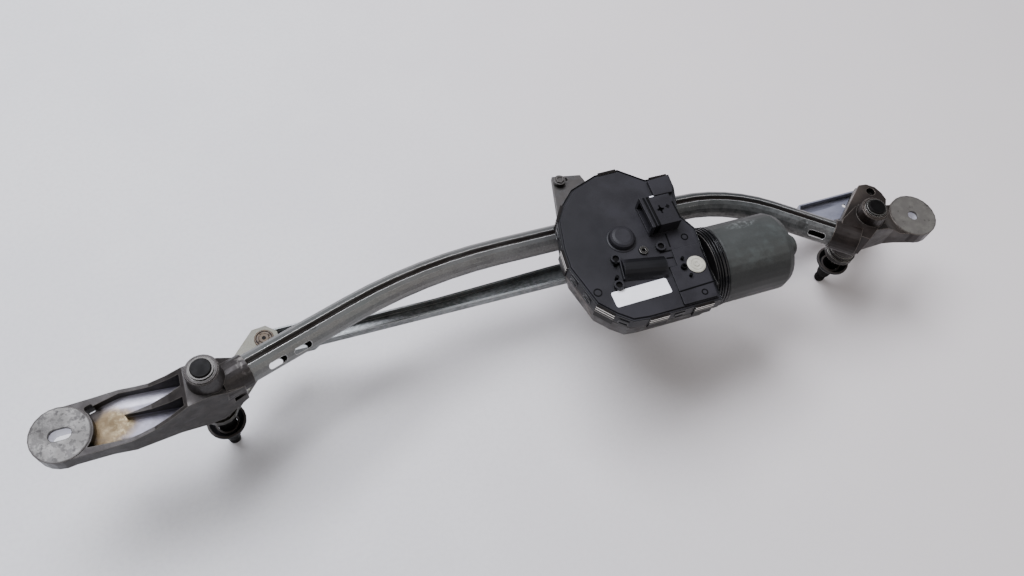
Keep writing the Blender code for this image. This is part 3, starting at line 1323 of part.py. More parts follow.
build_frame_tube()
build_left_housing()
build_right_housing()
left_tip = build_side("left", LEFT_PIVOT, LEFT_SHAFT_TOP, LEFT_BOSS_BOTTOM, LEFT_CAP_RIM,
                      LEFT_LEVER_UNDERSIDE, LEFT_LEVER_LENGTH, LEFT_LEVER_ANGLE)
right_tip = build_side("right", RIGHT_PIVOT, RIGHT_SHAFT_TOP, RIGHT_BOSS_BOTTOM, RIGHT_CAP_RIM,
                       RIGHT_LEVER_UNDERSIDE, RIGHT_LEVER_LENGTH, RIGHT_LEVER_ANGLE)
build_drive("left", left_tip, LEFT_BALL_HEIGHT, -1, LEFT_ROD_WIDE, LEFT_ROD_WIDE_LENGTH,
            LEFT_ROD_NARROW, 1)
build_drive("right", right_tip, RIGHT_BALL_HEIGHT, 1, RIGHT_ROD_WIDE, RIGHT_ROD_WIDE_LENGTH,
            RIGHT_ROD_NARROW, -1)
build_crank(pivot_empty("crank_axis", OUTPUT_AXIS))
build_gear_housing()
build_gear_cover()
build_cover_fittings()
build_connector()
build_clips()
build_motor()
bpy.context.view_layer.update()
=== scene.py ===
# Wiper linkage on a pale bench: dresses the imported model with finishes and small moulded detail
import math

import bmesh
import bpy
from mathutils import Matrix, Vector


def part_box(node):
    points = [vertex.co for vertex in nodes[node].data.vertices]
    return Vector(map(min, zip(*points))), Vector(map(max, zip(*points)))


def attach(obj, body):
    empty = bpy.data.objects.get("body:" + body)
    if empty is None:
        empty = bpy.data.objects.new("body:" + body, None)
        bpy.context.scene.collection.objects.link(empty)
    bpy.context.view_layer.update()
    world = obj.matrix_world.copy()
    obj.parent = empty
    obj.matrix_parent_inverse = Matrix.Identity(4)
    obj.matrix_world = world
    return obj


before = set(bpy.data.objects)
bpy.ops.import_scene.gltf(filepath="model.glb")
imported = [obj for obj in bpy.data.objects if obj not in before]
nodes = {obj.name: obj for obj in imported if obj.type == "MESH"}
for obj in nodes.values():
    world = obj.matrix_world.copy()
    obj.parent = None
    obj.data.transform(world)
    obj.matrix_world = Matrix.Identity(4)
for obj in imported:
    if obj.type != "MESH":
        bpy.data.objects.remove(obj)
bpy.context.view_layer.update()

outputAxis = (0.07035, -0.0108)    # plan place of the motor's output shaft
leftPivot = (-0.26465, -0.0328)
pivots = {"left": leftPivot, "right": (0.31535, -0.0328)}
coverTop = 0.138                   # top of the cover's flat panel
print("frame loaded:", len(nodes), "nodes")


def hexToLinear(code):
    channels = [int(code[place:place + 2], 16) / 255 for place in (1, 3, 5)]
    linear = [c / 12.92 if c <= 0.04045 else ((c + 0.055) / 1.055) ** 2.4 for c in channels]
    return (*linear, 1.0)


def addNode(tree, kind, settings=None, inputs=None):
    node = tree.nodes.new(kind)
    for key, value in (settings or {}).items():
        setattr(node, key, value)
    for key, value in (inputs or {}).items():
        if isinstance(value, bpy.types.NodeSocket):
            tree.links.new(value, node.inputs[key])
        else:
            node.inputs[key].default_value = value
    return node


def tint(tree, amount, under, over):
    # under and over are hex codes or sockets; gives the mixed colour's socket
    colours = [hexToLinear(c) if isinstance(c, str) else c for c in (under, over)]
    mixer = addNode(tree, "ShaderNodeMix", {"data_type": "RGBA"},
                    {0: amount, 6: colours[0], 7: colours[1]})
    return mixer.outputs[2]


def fade(tree, value, start, end, low=0.0, high=1.0):
    ramp = addNode(tree, "ShaderNodeMapRange", {"interpolation_type": "SMOOTHSTEP"},
                   {0: value, 1: start, 2: end, 3: low, 4: high})
    return ramp.outputs[0]


def maths(tree, operation, first, second=0.0):
    return addNode(tree, "ShaderNodeMath", {"operation": operation}, {0: first, 1: second}).outputs[0]


def shake(tree, value, ragged, amount):
    return maths(tree, "ADD", value, maths(tree, "MULTIPLY", ragged, amount))


def clouds(tree, point, sizeMm, detail, roughness=0.5):
    noise = addNode(tree, "ShaderNodeTexNoise", None,
                    {"Vector": point, "Scale": 1000 / sizeMm, "Detail": detail, "Roughness": roughness})
    return noise.outputs[0]


def upPart(tree, vector):
    return addNode(tree, "ShaderNodeSeparateXYZ", None, {0: vector}).outputs[2]


def patchMask(tree, point, patch, ragged):
    # 1 inside an ellipsoid round a place on the part, 0 outside, with a ragged edge
    away = addNode(tree, "ShaderNodeVectorMath", {"operation": "SUBTRACT"}, {0: point, 1: patch["at"]})
    scaled = addNode(tree, "ShaderNodeVectorMath", {"operation": "DIVIDE"},
                     {0: away.outputs[0], 1: patch["size"]})
    reach = addNode(tree, "ShaderNodeVectorMath", {"operation": "LENGTH"}, {0: scaled.outputs[0]})
    shaken = shake(tree, reach.outputs["Value"], ragged, patch.get("rag", 0.4))
    soft = patch.get("soft", 0.25)
    inside = fade(tree, shaken, 1.0 + soft, 1.0 - soft, 0.0, patch.get("amount", 1.0))
    if "mottleMm" not in patch:
        return inside
    cloud = clouds(tree, point, patch["mottleMm"], 4.0, 0.65)
    start = patch.get("from", 0.45)
    return maths(tree, "MULTIPLY", inside, fade(tree, cloud, start, start + patch.get("spread", 0.18)))


# where each layer of every finish begins and ends, and how ragged its edge is
layers = {
    "second": (0.38, 0.62), "fleck": (0.35, 0.75), "rough": (0.3, 0.7),    # levels of the noise
    "litTops": (0.7, 0.95), "litTopsRag": 0.2,       # upward part of the normal; paler tops are painted light
    "wearAndGlint": (0.985, 0.90), "wearAndGlintRag": 0.12,    # how far the rounded normal leans from the face's own; paler edges are wear and painted highlights
    "grimeAndShade": (0.85, 0.35), "grimeAndShadeRag": 0.4, "grimeAndShadeRough": 0.2,    # share of open sky; darker where it is small, painted shade with grime
    # levels of the painted highlights along the clips' ribs
    "band": (0.60, 0.80), "bandLean": (0.8, 0.4), "bandOnTop": 0.3}


def makeFinish(name, spec):
    # two-tone body colour, flecks, paler tops as painted light, placed patches, dents with painted shade,
    # worn edges with painted highlights, grime with painted shade in corners
    finish = bpy.data.materials.new(name)
    finish.use_nodes = True
    tree = finish.node_tree
    shader = tree.nodes["Principled BSDF"]
    shader.inputs["Metallic"].default_value = spec["metallic"]
    if "ior" in spec:
        shader.inputs["IOR"].default_value = spec["ior"]
    shader.inputs["Specular IOR Level"].default_value = spec.get("specular", 0.5)
    point = addNode(tree, "ShaderNodeTexCoord").outputs["Object"]
    mapped = addNode(tree, "ShaderNodeMapping", None, {0: point, 3: spec.get("stretch", (1.0, 1.0, 1.0))})
    blotch = clouds(tree, mapped.outputs[0], spec["blotchMm"], 5.0, 0.6)
    grain = clouds(tree, mapped.outputs[0], spec["grainMm"], 2.0)
    ragged = maths(tree, "SUBTRACT", blotch, 0.5)
    rounded = addNode(tree, "ShaderNodeBevel", {"samples": 6}, {"Radius": spec.get("edgeMm", 0.5) / 1000})
    colour = tint(tree, fade(tree, blotch, *layers["second"]), spec["base"], spec["second"])
    flecks = fade(tree, grain, *layers["fleck"], 0.0, spec.get("speckle", 0.25))
    colour = tint(tree, flecks, colour, spec["fleck"])
    # upward faces tinted paler: painted light
    if "litTops" in spec:
        level = shake(tree, upPart(tree, rounded.outputs[0]), ragged, layers["litTopsRag"])
        colour = tint(tree, fade(tree, level, *layers["litTops"], 0.0, spec["litTops"][1]), colour, spec["litTops"][0])
    for patch in spec.get("patches", ()):
        colour = tint(tree, patchMask(tree, point, patch, ragged), colour, patch["hex"])
    height = grain
    for dent in spec.get("dents", ()):
        hollow = patchMask(tree, point, dent, ragged)
        height = maths(tree, "SUBTRACT", height, maths(tree, "MULTIPLY", hollow, dent["depth"]))
        # dent hollows tinted dark: painted shade
        colour = tint(tree, maths(tree, "MULTIPLY", hollow, dent.get("shade", 0.5)), colour, dent["hex"])
    rough = fade(tree, blotch, *layers["rough"], *spec["roughness"])
    # edges tinted paler: worn metal, and painted highlights on the rounded edges
    if "wearAndGlint" in spec:
        facing = addNode(tree, "ShaderNodeNewGeometry")
        bend = addNode(tree, "ShaderNodeVectorMath", {"operation": "DOT_PRODUCT"},
                       {0: rounded.outputs[0], 1: facing.outputs["Normal"]})
        bent = shake(tree, bend.outputs["Value"], ragged, layers["wearAndGlintRag"])
        colour = tint(tree, fade(tree, bent, *layers["wearAndGlint"], 0.0, spec["wearAndGlint"][1]), colour, spec["wearAndGlint"][0])
    # hollows and corners darkened from the occlusion: painted shade, with grime
    if "grimeAndShade" in spec:
        hexCode, reachMm, amount = spec["grimeAndShade"]
        openSky = addNode(tree, "ShaderNodeAmbientOcclusion", {"samples": 6, "only_local": True},
                          {"Distance": reachMm / 1000})
        seen = shake(tree, openSky.outputs["AO"], ragged, spec.get("grimeAndShadeRag", layers["grimeAndShadeRag"]))
        shut = fade(tree, seen, *layers["grimeAndShade"], 0.0, amount)
        colour = tint(tree, shut, colour, hexCode)
        rough = maths(tree, "ADD", rough, maths(tree, "MULTIPLY", shut, layers["grimeAndShadeRough"]))
    # painted highlights along the ribs, on upright faces, only above a set height
    if "ribHighlights" in spec:
        ribHighlights = spec["ribHighlights"]
        half, soft = ribHighlights["halfPitchMm"] / 1000, ribHighlights["softMm"] / 1000
        up = upPart(tree, point)
        lap = maths(tree, "PINGPONG", up, half)
        line = fade(tree, lap, *(half * share for share in layers["band"]))
        upright = fade(tree, upPart(tree, rounded.outputs[0]), *layers["bandLean"], layers["bandOnTop"], 1.0)
        line = maths(tree, "MULTIPLY", line, upright)
        shown = fade(tree, up, ribHighlights["above"] - soft, ribHighlights["above"] + soft)
        colour = tint(tree, maths(tree, "MULTIPLY", line, shown), colour, ribHighlights["hex"])
    # laid over everything else: clean metal, and painted light where shade is lifted
    for patch in spec.get("cleanedAndLit", ()):
        colour = tint(tree, patchMask(tree, point, patch, ragged), colour, patch["hex"])
    bump = addNode(tree, "ShaderNodeBump", None,
                   {"Strength": spec.get("bump", 0.3), "Distance": spec.get("bumpMm", 0.1) / 1000,
                    "Height": height, "Normal": rounded.outputs[0]})
    tree.links.new(colour, shader.inputs["Base Color"])
    tree.links.new(rough, shader.inputs["Roughness"])
    tree.links.new(bump.outputs[0], shader.inputs["Normal"])
    return finish


# finishes, each from what the real one is

# hot-dip galvanised tube, rolled and bent: dull grey with paler flecks, painted highlights on its fold edges,
# dirt and painted shade in the groove
galvanisedTube = makeFinish("galvanisedTube", {
    "base": "#5c5b59", "second": "#6c6b69", "fleck": "#8a8987", "metallic": 0.55, "litTops": ("#5a5b5a", 0.7),
    "roughness": (0.30, 0.44), "blotchMm": 24, "grainMm": 1.1, "speckle": 0.4, "bump": 0.3, "specular": 0.5,
    "bumpMm": 0.15, "edgeMm": 0.7, "wearAndGlint": ("#f0f0ee", 0.9), "grimeAndShade": ("#4b4441", 5.0, 0.85), "grimeAndShadeRag": 1.2,
    "patches": (
        {"at": (-0.19, -0.01, 0.12), "size": (0.09, 0.06, 0.03), "hex": "#5d6260", "amount": 0.5,
         "mottleMm": 14, "spread": 0.4, "from": 0.3},
        {"at": (0.25, 0.0, 0.11), "size": (0.12, 0.08, 0.03), "hex": "#232221", "amount": 0.5, "mottleMm": 5},
        # darker low band on the right tube: painted shade on its underside
        {"at": (0.20, 0.03, 0.102), "size": (0.12, 0.08, 0.007), "hex": "#2e3131", "amount": 0.7,
         "soft": 0.6},
    ),
    "cleanedAndLit": (
        # paler groove on the right: painted light lifting the groove's shade
        {"at": (0.19, 0.03, 0.121), "size": (0.12, 0.08, 0.009), "hex": "#a9a8a6", "amount": 0.75,
         "mottleMm": 4, "soft": 0.5},
    ),
    "dents": (
        {"at": (-0.1832, -0.0072, 0.1130), "size": (0.0045, 0.0032, 0.006), "depth": 6.0, "hex": "#1b1a19"},
        {"at": (0.2530, -0.0215, 0.1065), "size": (0.0040, 0.0034, 0.006), "depth": 6.0, "hex": "#1b1a19"},
    )})
# die-cast aluminium that has lain under a bonnet: dark oily skin, clean metal where it was clamped, paler
# tops as painted light
castLeft = makeFinish("castLeftHousing", {
    "base": "#1d1a19", "second": "#292524", "fleck": "#3d3835", "metallic": 0.35, "litTops": ("#272322", 0.8),
    "roughness": (0.34, 0.54), "blotchMm": 10, "grainMm": 0.9, "speckle": 0.4, "bump": 0.45, "specular": 0.35,
    "bumpMm": 0.25, "edgeMm": 0.9, "wearAndGlint": ("#8a857f", 0.6), "grimeAndShade": ("#070606", 8.0, 0.9),
    "patches": (
        {"at": (-0.285, -0.045, 0.100), "size": (0.06, 0.03, 0.03), "hex": "#3d3936", "amount": 0.6,
         "mottleMm": 9},
    ),
    "cleanedAndLit": (
        {"at": (-0.314, -0.0368, 0.1046), "size": (0.047, 0.0162, 0.0032), "hex": "#84828e", "soft": 0.1,
         "rag": 0.1, "amount": 0.88},
        {"at": (-0.296, -0.0368, 0.1046), "size": (0.032, 0.0160, 0.0032), "hex": "#6c6a70", "soft": 0.1,
         "rag": 0.1, "amount": 0.45, "mottleMm": 6},
        # paler strip along the pocket's far wall: painted light against the wall's shadow
        {"at": (-0.310, -0.0245, 0.1042), "size": (0.030, 0.0050, 0.0020), "hex": "#c9c7d2", "soft": 0.2,
         "rag": 0.1, "amount": 0.7},
        {"at": (-0.3350, -0.0400, 0.1046), "size": (0.0165, 0.0130, 0.004), "hex": "#64512c", "amount": 0.92,
         "soft": 0.3, "rag": 0.8},
        {"at": (-0.3330, -0.0400, 0.1046), "size": (0.0120, 0.0130, 0.004), "hex": "#a5997a", "amount": 0.55,
         "soft": 0.3, "rag": 0.6, "mottleMm": 4},
        {"at": (-0.3410, -0.0400, 0.1042), "size": (0.0090, 0.0140, 0.004), "hex": "#4f3f24", "amount": 0.7,
         "soft": 0.5, "rag": 0.8},
        {"at": (-0.3475, -0.0270, 0.1046), "size": (0.0070, 0.0070, 0.006), "hex": "#1d150e", "amount": 0.9,
         "soft": 0.3, "rag": 0.4},
        {"at": (-0.36805, -0.0396, 0.1120), "size": (0.0200, 0.0200, 0.0018), "hex": "#403e3c", "soft": 0.03,
         "rag": 0.06},
        {"at": (-0.36805, -0.0396, 0.1120), "size": (0.0200, 0.0200, 0.0018), "hex": "#6e6c69", "soft": 0.03,
         "rag": 0.06, "mottleMm": 5, "from": 0.42, "spread": 0.1, "amount": 0.75},
        {"at": (-0.36805, -0.0396, 0.1120), "size": (0.0200, 0.0200, 0.0018), "hex": "#1f1c1b", "soft": 0.03,
         "rag": 0.06, "mottleMm": 7, "from": 0.54, "spread": 0.1, "amount": 0.8},
        {"at": (-0.3760, -0.0330, 0.1120), "size": (0.0120, 0.0100, 0.0018), "hex": "#2a2725", "soft": 0.4,
         "rag": 0.8, "mottleMm": 5, "from": 0.40, "spread": 0.2, "amount": 0.7},
        # near-white slot walls: painted light, the lit bench seen through the slot
        {"at": (-0.36805, -0.0396, 0.1040), "size": (0.0115, 0.0075, 0.0072), "hex": "#dcdce2", "soft": 0.05,
         "rag": 0.0},
        {"at": (-0.2370, -0.0245, 0.1230), "size": (0.006, 0.010, 0.010), "hex": "#8d8985", "amount": 0.6,
         "mottleMm": 5},
    )})
castRight = makeFinish("castRightHousing", {
    "base": "#120d0b", "second": "#1c1512", "fleck": "#312722", "metallic": 0.35, "litTops": ("#221c19", 0.75),
    "roughness": (0.30, 0.50), "blotchMm": 9, "grainMm": 0.9, "speckle": 0.4, "bump": 0.45, "specular": 0.4,
    "bumpMm": 0.25, "edgeMm": 0.9, "wearAndGlint": ("#8f857c", 0.6), "grimeAndShade": ("#070504", 8.0, 0.9),
    "patches": (
        {"at": (0.3050, 0.0010, 0.1080), "size": (0.026, 0.016, 0.020), "hex": "#463f3a", "amount": 0.85,
         "rag": 1.0, "soft": 0.4},
        {"at": (0.3100, -0.0400, 0.1130), "size": (0.018, 0.014, 0.004), "hex": "#1d1613", "amount": 0.7,
         "mottleMm": 8},
        {"at": (0.340, -0.040, 0.100), "size": (0.016, 0.012, 0.012), "hex": "#3d3732", "amount": 0.7,
         "rag": 1.4, "soft": 0.4},
    ),
    "cleanedAndLit": (
        {"at": (0.36705, -0.0378, 0.1000), "size": (0.0212, 0.0212, 0.0018), "hex": "#5f5c58", "soft": 0.04,
         "rag": 0.1},
        {"at": (0.36705, -0.0378, 0.1000), "size": (0.0212, 0.0212, 0.0018), "hex": "#6c6a64", "soft": 0.04,
         "rag": 0.1, "mottleMm": 7, "amount": 0.65},
        {"at": (0.36705, -0.0378, 0.1000), "size": (0.0212, 0.0212, 0.0018), "hex": "#2c2926", "soft": 0.04,
         "rag": 0.1, "mottleMm": 8, "from": 0.55, "spread": 0.12, "amount": 0.7},
        # near-white hole walls: painted light, the lit bench seen through the hole
        {"at": (0.36705, -0.0378, 0.0925), "size": (0.0075, 0.0075, 0.0068), "hex": "#dcdce2", "soft": 0.05,
         "rag": 0.0},
    )})
castGear = makeFinish("castGearHousing", {
    "base": "#181413", "second": "#241f1d", "fleck": "#3c3733", "metallic": 0.35, "litTops": ("#4a4745", 0.7),
    "roughness": (0.34, 0.54), "blotchMm": 10, "grainMm": 0.9, "speckle": 0.4, "bump": 0.45, "specular": 0.35,
    "bumpMm": 0.25, "edgeMm": 0.9, "wearAndGlint": ("#85817c", 0.5), "grimeAndShade": ("#0a0908", 9.0, 0.85),
    "patches": (
        {"at": (0.0640, 0.0690, 0.1068), "size": (0.026, 0.034, 0.0020), "hex": "#454444", "mottleMm": 7,
         "amount": 0.8},
        {"at": (0.0210, -0.0330, 0.1100), "size": (0.022, 0.034, 0.016), "hex": "#6b615a", "amount": 0.75,
         "mottleMm": 7},
        # dark front wall: painted shade on the side away from the light
        {"at": (0.0900, -0.0900, 0.1150), "size": (0.080, 0.016, 0.030), "hex": "#0b0908", "amount": 0.85,
         "soft": 0.4},
        {"at": (0.1405, -0.0408, 0.1180), "size": (0.0075, 0.045, 0.045), "hex": "#171516", "soft": 0.1,
         "rag": 0.0},
    )})
# glass-filled nylon, moulded: black with a satin skin, greyer on its edges where it was rubbed and as painted
# highlights
mouldedNylon = makeFinish("mouldedNylon", {
    "base": "#1d1c1f", "second": "#252428", "fleck": "#323035", "metallic": 0.0, "ior": 1.5, "specular": 0.2,
    "roughness": (0.38, 0.50), "blotchMm": 34, "grainMm": 0.7, "speckle": 0.25, "bump": 0.18,
    "bumpMm": 0.08, "edgeMm": 0.5, "wearAndGlint": ("#47464b", 0.4), "grimeAndShade": ("#040404", 4.0, 0.8),
    "patches": (
        {"at": (0.0784, -0.0406, 0.1430), "size": (0.0215, 0.0125, 0.0060), "hex": "#040406", "amount": 0.85,
         "soft": 0.15, "rag": 0.2},
        # darker towards the left of the panel: painted shade
        {"at": (0.0350, -0.0050, 0.1380), "size": (0.0300, 0.0450, 0.0100), "hex": "#0e0e12", "amount": 0.5,
         "soft": 0.6},
    )})
mouldedGloss = makeFinish("mouldedNylonGloss", {
    "base": "#060607", "second": "#0a0a0c", "fleck": "#121214", "metallic": 0.0, "ior": 1.5, "specular": 0.35,
    "roughness": (0.18, 0.28), "blotchMm": 20, "grainMm": 0.7, "speckle": 0.2, "bump": 0.1,
    "bumpMm": 0.05, "edgeMm": 0.4, "wearAndGlint": ("#2a2a2e", 0.3)})
# the same nylon, near black where it stands proud in thin ribs: painted shade, reads as a dark line
shadeDarkRib = makeFinish("shadeDarkRib", {
    "base": "#020203", "second": "#040405", "fleck": "#070708", "metallic": 0.0, "ior": 1.45, "specular": 0.1,
    "roughness": (0.45, 0.55), "blotchMm": 20, "grainMm": 0.7, "bump": 0.05, "edgeMm": 0.1})
# deep-drawn steel can under cathodic dip paint: dark grey, dusty, a few pale rubs, its top paler as painted
# light
dipPaint = makeFinish("dipPaintedCan", {
    "base": "#222322", "second": "#2a2b2a", "fleck": "#393a38", "metallic": 0.1, "ior": 1.5, "specular": 0.35,
    "roughness": (0.42, 0.56), "blotchMm": 30, "grainMm": 1.2, "speckle": 0.35, "bump": 0.25,
    "bumpMm": 0.1, "edgeMm": 3.4, "grimeAndShade": ("#0d0f10", 6.0, 0.6), "litTops": ("#434644", 0.5),
    "patches": (
        {"at": (0.176, -0.022, 0.139), "size": (0.014, 0.006, 0.006), "hex": "#757a78", "amount": 0.5,
         "mottleMm": 3},
        {"at": (0.195, -0.050, 0.141), "size": (0.045, 0.020, 0.010), "hex": "#4f5655", "amount": 0.4,
         "mottleMm": 12, "spread": 0.3},
    )})
# spring steel strip, ribbed when it was rolled: near black, with painted highlights along its ridges
ribbedSpring = makeFinish("ribbedSpringSteel", {
    "base": "#070504", "second": "#0f0a08", "fleck": "#1c1511", "metallic": 0.0, "specular": 0.15,
    "roughness": (0.34, 0.46), "blotchMm": 7, "grainMm": 0.8, "bump": 0.15, "edgeMm": 0.2,
    "ribHighlights": {"hex": "#fffaf2", "halfPitchMm": 1.5, "above": 0.1310, "softMm": 1.2}})
# yellow-chromated zinc plate on pressed steel: cream, with painted shade round the hub under the housing
chromatedPlate = makeFinish("chromatedPlate", {
    "base": "#3f3e35", "second": "#504e43", "fleck": "#757367", "metallic": 0.4,
    "roughness": (0.34, 0.48), "blotchMm": 9, "grainMm": 1.0, "bump": 0.2, "edgeMm": 0.6,
    "wearAndGlint": ("#b6b4a8", 0.4), "grimeAndShade": ("#4d4534", 5.0, 0.6),
    "patches": (
        # dark round the hub: painted shade under the housing
        {"at": (-0.26465, -0.0328, 0.050), "size": (0.022, 0.022, 0.060), "hex": "#14100d", "amount": 0.85,
         "soft": 0.3},
    )})
# the same sheet on the far lever, as painted shade under its housing: nearly black, bright only on its edges
# as painted highlights
shadedSheet = makeFinish("shadedSheet", {
    "base": "#14110f", "second": "#1d1916", "fleck": "#332d29", "metallic": 0.4,
    "roughness": (0.30, 0.44), "blotchMm": 8, "grainMm": 1.0, "bump": 0.2, "edgeMm": 0.5,
    "wearAndGlint": ("#c9c5bd", 0.8)})
# pressed galvanised sheet: mottled light web, thin bright edges of wear and painted highlights; upper faces
# of the right rod paler as painted light
pressedLeft = makeFinish("pressedSheetLeft", {
    "base": "#5c5e5e", "second": "#7a7d7d", "fleck": "#a9abab", "metallic": 0.5,
    "roughness": (0.34, 0.50), "blotchMm": 9, "grainMm": 1.6, "speckle": 0.45, "bump": 0.25,
    "bumpMm": 0.12, "edgeMm": 0.7, "wearAndGlint": ("#dadcdb", 0.85), "grimeAndShade": ("#1d1d1e", 5.0, 0.5),
    "stretch": (0.5, 1.0, 1.0)})
pressedRight = makeFinish("pressedSheetRight", {
    "base": "#4b4c53", "second": "#6a6b74", "fleck": "#9d9eaa", "metallic": 0.3, "litTops": ("#8d8e9c", 0.75),
    "roughness": (0.32, 0.48), "blotchMm": 8, "grainMm": 1.6, "speckle": 0.45, "bump": 0.25,
    "bumpMm": 0.12, "edgeMm": 0.5, "wearAndGlint": ("#bcc0c8", 0.5), "grimeAndShade": ("#1a1b20", 5.0, 0.6),
    "stretch": (0.5, 1.0, 1.0),
    "dents": (
        {"at": (0.3300, 0.0245, 0.0375), "size": (0.020, 0.0022, 0.006), "depth": 5.0, "hex": "#2c2f35",
         "rag": 0.1},
    )})
# manganese-phosphated and oiled steel: near black, soft sheen
phosphated = makeFinish("phosphatedSteel", {
    "base": "#060505", "second": "#090808", "fleck": "#141211", "metallic": 0.0, "specular": 0.08,
    "roughness": (0.42, 0.56), "blotchMm": 6, "grainMm": 0.6, "bump": 0.25, "edgeMm": 0.3,
    "wearAndGlint": ("#4d4945", 0.5)})
# hardened rivet head, left bare: thin brown rust with a darker ring
rustedHead = makeFinish("rustedRivetHead", {
    "base": "#33271e", "second": "#544638", "fleck": "#80725f", "metallic": 0.3,
    "roughness": (0.48, 0.68), "blotchMm": 3, "grainMm": 0.6, "speckle": 0.45, "bump": 0.4,
    "edgeMm": 0.3, "wearAndGlint": ("#a3978a", 0.4), "grimeAndShade": ("#1c120c", 3.0, 0.9)})
# turned and ground steel ring: oily faces, bright edges of wear and painted highlights
turnedRing = makeFinish("turnedSteelRing", {
    "base": "#201e1c", "second": "#34322f", "fleck": "#64615d", "metallic": 0.6,
    "roughness": (0.26, 0.40), "blotchMm": 2.5, "grainMm": 0.5, "bump": 0.25, "edgeMm": 0.35,
    "wearAndGlint": ("#cac8c3", 0.8), "grimeAndShade": ("#0d0b0a", 1.6, 0.95)})
# black EPDM rubber, moulded: matt with grey dust, brownish tops of dust and painted light
mouldedRubber = makeFinish("mouldedRubber", {
    "base": "#0d0d0f", "second": "#141417", "fleck": "#29292e", "metallic": 0.0, "ior": 1.5, "specular": 0.4,
    "roughness": (0.50, 0.66), "blotchMm": 6, "grainMm": 0.5, "bump": 0.25, "edgeMm": 0.4,
    "wearAndGlint": ("#55555a", 0.4), "litTops": ("#4b423c", 0.5)})
# natural acetal, moulded: milky, slightly waxy
naturalAcetal = makeFinish("naturalAcetal", {
    "base": "#b0ac9e", "second": "#bcb8aa", "fleck": "#cac6b9", "metallic": 0.0, "ior": 1.48,
    "roughness": (0.36, 0.46), "blotchMm": 12, "grainMm": 0.6, "bump": 0.1, "edgeMm": 0.4})
# white polyester moulding of the vent: slightly dusty
ventPolyester = makeFinish("ventPolyester", {
    "base": "#a9a699", "second": "#b5b2a6", "fleck": "#8f8c80", "metallic": 0.0, "ior": 1.5,
    "roughness": (0.40, 0.52), "blotchMm": 4, "grainMm": 0.5, "bump": 0.1, "edgeMm": 0.4,
    "grimeAndShade": ("#5f5b50", 2.0, 0.7)})
# coated label paper, left bare
labelPaper = makeFinish("coatedLabelPaper", {
    "base": "#ededf1", "second": "#f5f4f8", "fleck": "#dcdce1", "metallic": 0.0, "ior": 1.45,
    "roughness": (0.42, 0.52), "blotchMm": 18, "grainMm": 0.5, "speckle": 0.12, "bump": 0.06,
    "edgeMm": 0.2})
# oil-filled sintered bronze
sinteredBronze = makeFinish("sinteredBronze", {
    "base": "#8a6844", "second": "#96744f", "fleck": "#5e452c", "metallic": 0.85,
    "roughness": (0.42, 0.55), "blotchMm": 6, "grainMm": 0.4, "bump": 0.25, "edgeMm": 0.3})
# pressed ferrite: charcoal, faint grit
pressedFerrite = makeFinish("pressedFerrite", {
    "base": "#35363a", "second": "#3d3e42", "fleck": "#4b4c50", "metallic": 0.1,
    "roughness": (0.55, 0.68), "blotchMm": 10, "grainMm": 0.5, "bump": 0.2, "edgeMm": 0.4})
# painted board under the part: pale grey with a barely visible grain
paleBoard = makeFinish("paleBoard", {
    "base": "#dad9db", "second": "#dfdedf", "fleck": "#d0cfd1", "metallic": 0.0, "ior": 1.45, "specular": 0.3,
    "roughness": (0.66, 0.78), "blotchMm": 160, "grainMm": 4, "speckle": 0.35, "bump": 0.05,
    "patches": (
        {"at": (0.55, 0.1, 0.0), "size": (0.55, 0.9, 0.1), "hex": "#dcd5d4", "amount": 0.8, "soft": 0.6},
    )})
print("finishes made:", len(bpy.data.materials))

finishOf = {
    "frame_tube": galvanisedTube, "left_bearing_housing": castLeft, "right_bearing_housing": castRight,
    "gear_housing": castGear, "gear_cover": mouldedNylon, "connector_housing": mouldedNylon,
    "motor_flange": mouldedGloss, "motor_can": dipPaint, "vent_plug": ventPolyester,
    "locating_sleeve": turnedRing, "tab_bolt": castGear, "motor_crank": phosphated,
    "crank_double_stud": turnedRing, "crank_nut": turnedRing, "output_shaft": turnedRing,
    "worm_wheel": naturalAcetal, "left_drive_rod": pressedLeft, "right_drive_rod": pressedRight,
}
for name, node in nodes.items():
    if name.startswith("cover_clip"):
        finish = ribbedSpring
    elif name.startswith("cover_screw") or name.endswith(("_spindle", "crank_ball")):
        finish = phosphated
    elif name.endswith(("_ring", "_washer")):
        finish = turnedRing
    elif name.endswith("_bush"):
        finish = sinteredBronze
    elif name.endswith("rain_cap"):
        finish = mouldedRubber
    elif name.endswith("ball_stud"):
        finish = rustedHead
    elif name.endswith("_socket"):
        finish = naturalAcetal
    elif name.endswith("_lever"):
        finish = shadedSheet if name.startswith("right") else chromatedPlate
    elif "magnet" in name:
        finish = pressedFerrite
    else:
        finish = finishOf[name]
    node.data.materials.clear()
    node.data.materials.append(finish)
print("carried-over nodes dressed")


# mesh helpers

weldMm = 0.002


def newPiece(name, work, finish, body, sharp=35):
    bmesh.ops.remove_doubles(work, verts=work.verts, dist=weldMm / 1000)
    bmesh.ops.recalc_face_normals(work, faces=work.faces)
    mesh = bpy.data.meshes.new(name)
    work.to_mesh(mesh)
    work.free()
    mesh.shade_smooth()
    mesh.set_sharp_from_angle(angle=math.radians(sharp))
    mesh.materials.append(finish)
    made = bpy.data.objects.new(name, mesh)
    bpy.context.scene.collection.objects.link(made)
    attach(made, body)
    return made


def inMetres(sizes, *keys):
    # millimetre entries of a piece's dictionary
    return [sizes[key] / 1000 for key in keys]


def fromAxis(x, y):
    # plan place given in mm from the output axis
    return (outputAxis[0] + x / 1000, outputAxis[1] + y / 1000)


def middleOf(corners):
    # plan middle of a box
    return tuple((low + high) / 2 for low, high in zip(corners[0][:2], corners[1][:2]))


def turnedPlace(place, height, turnDeg):
    return Matrix.Translation((*place, height)) @ Matrix.Rotation(math.radians(turnDeg), 4, "Z")


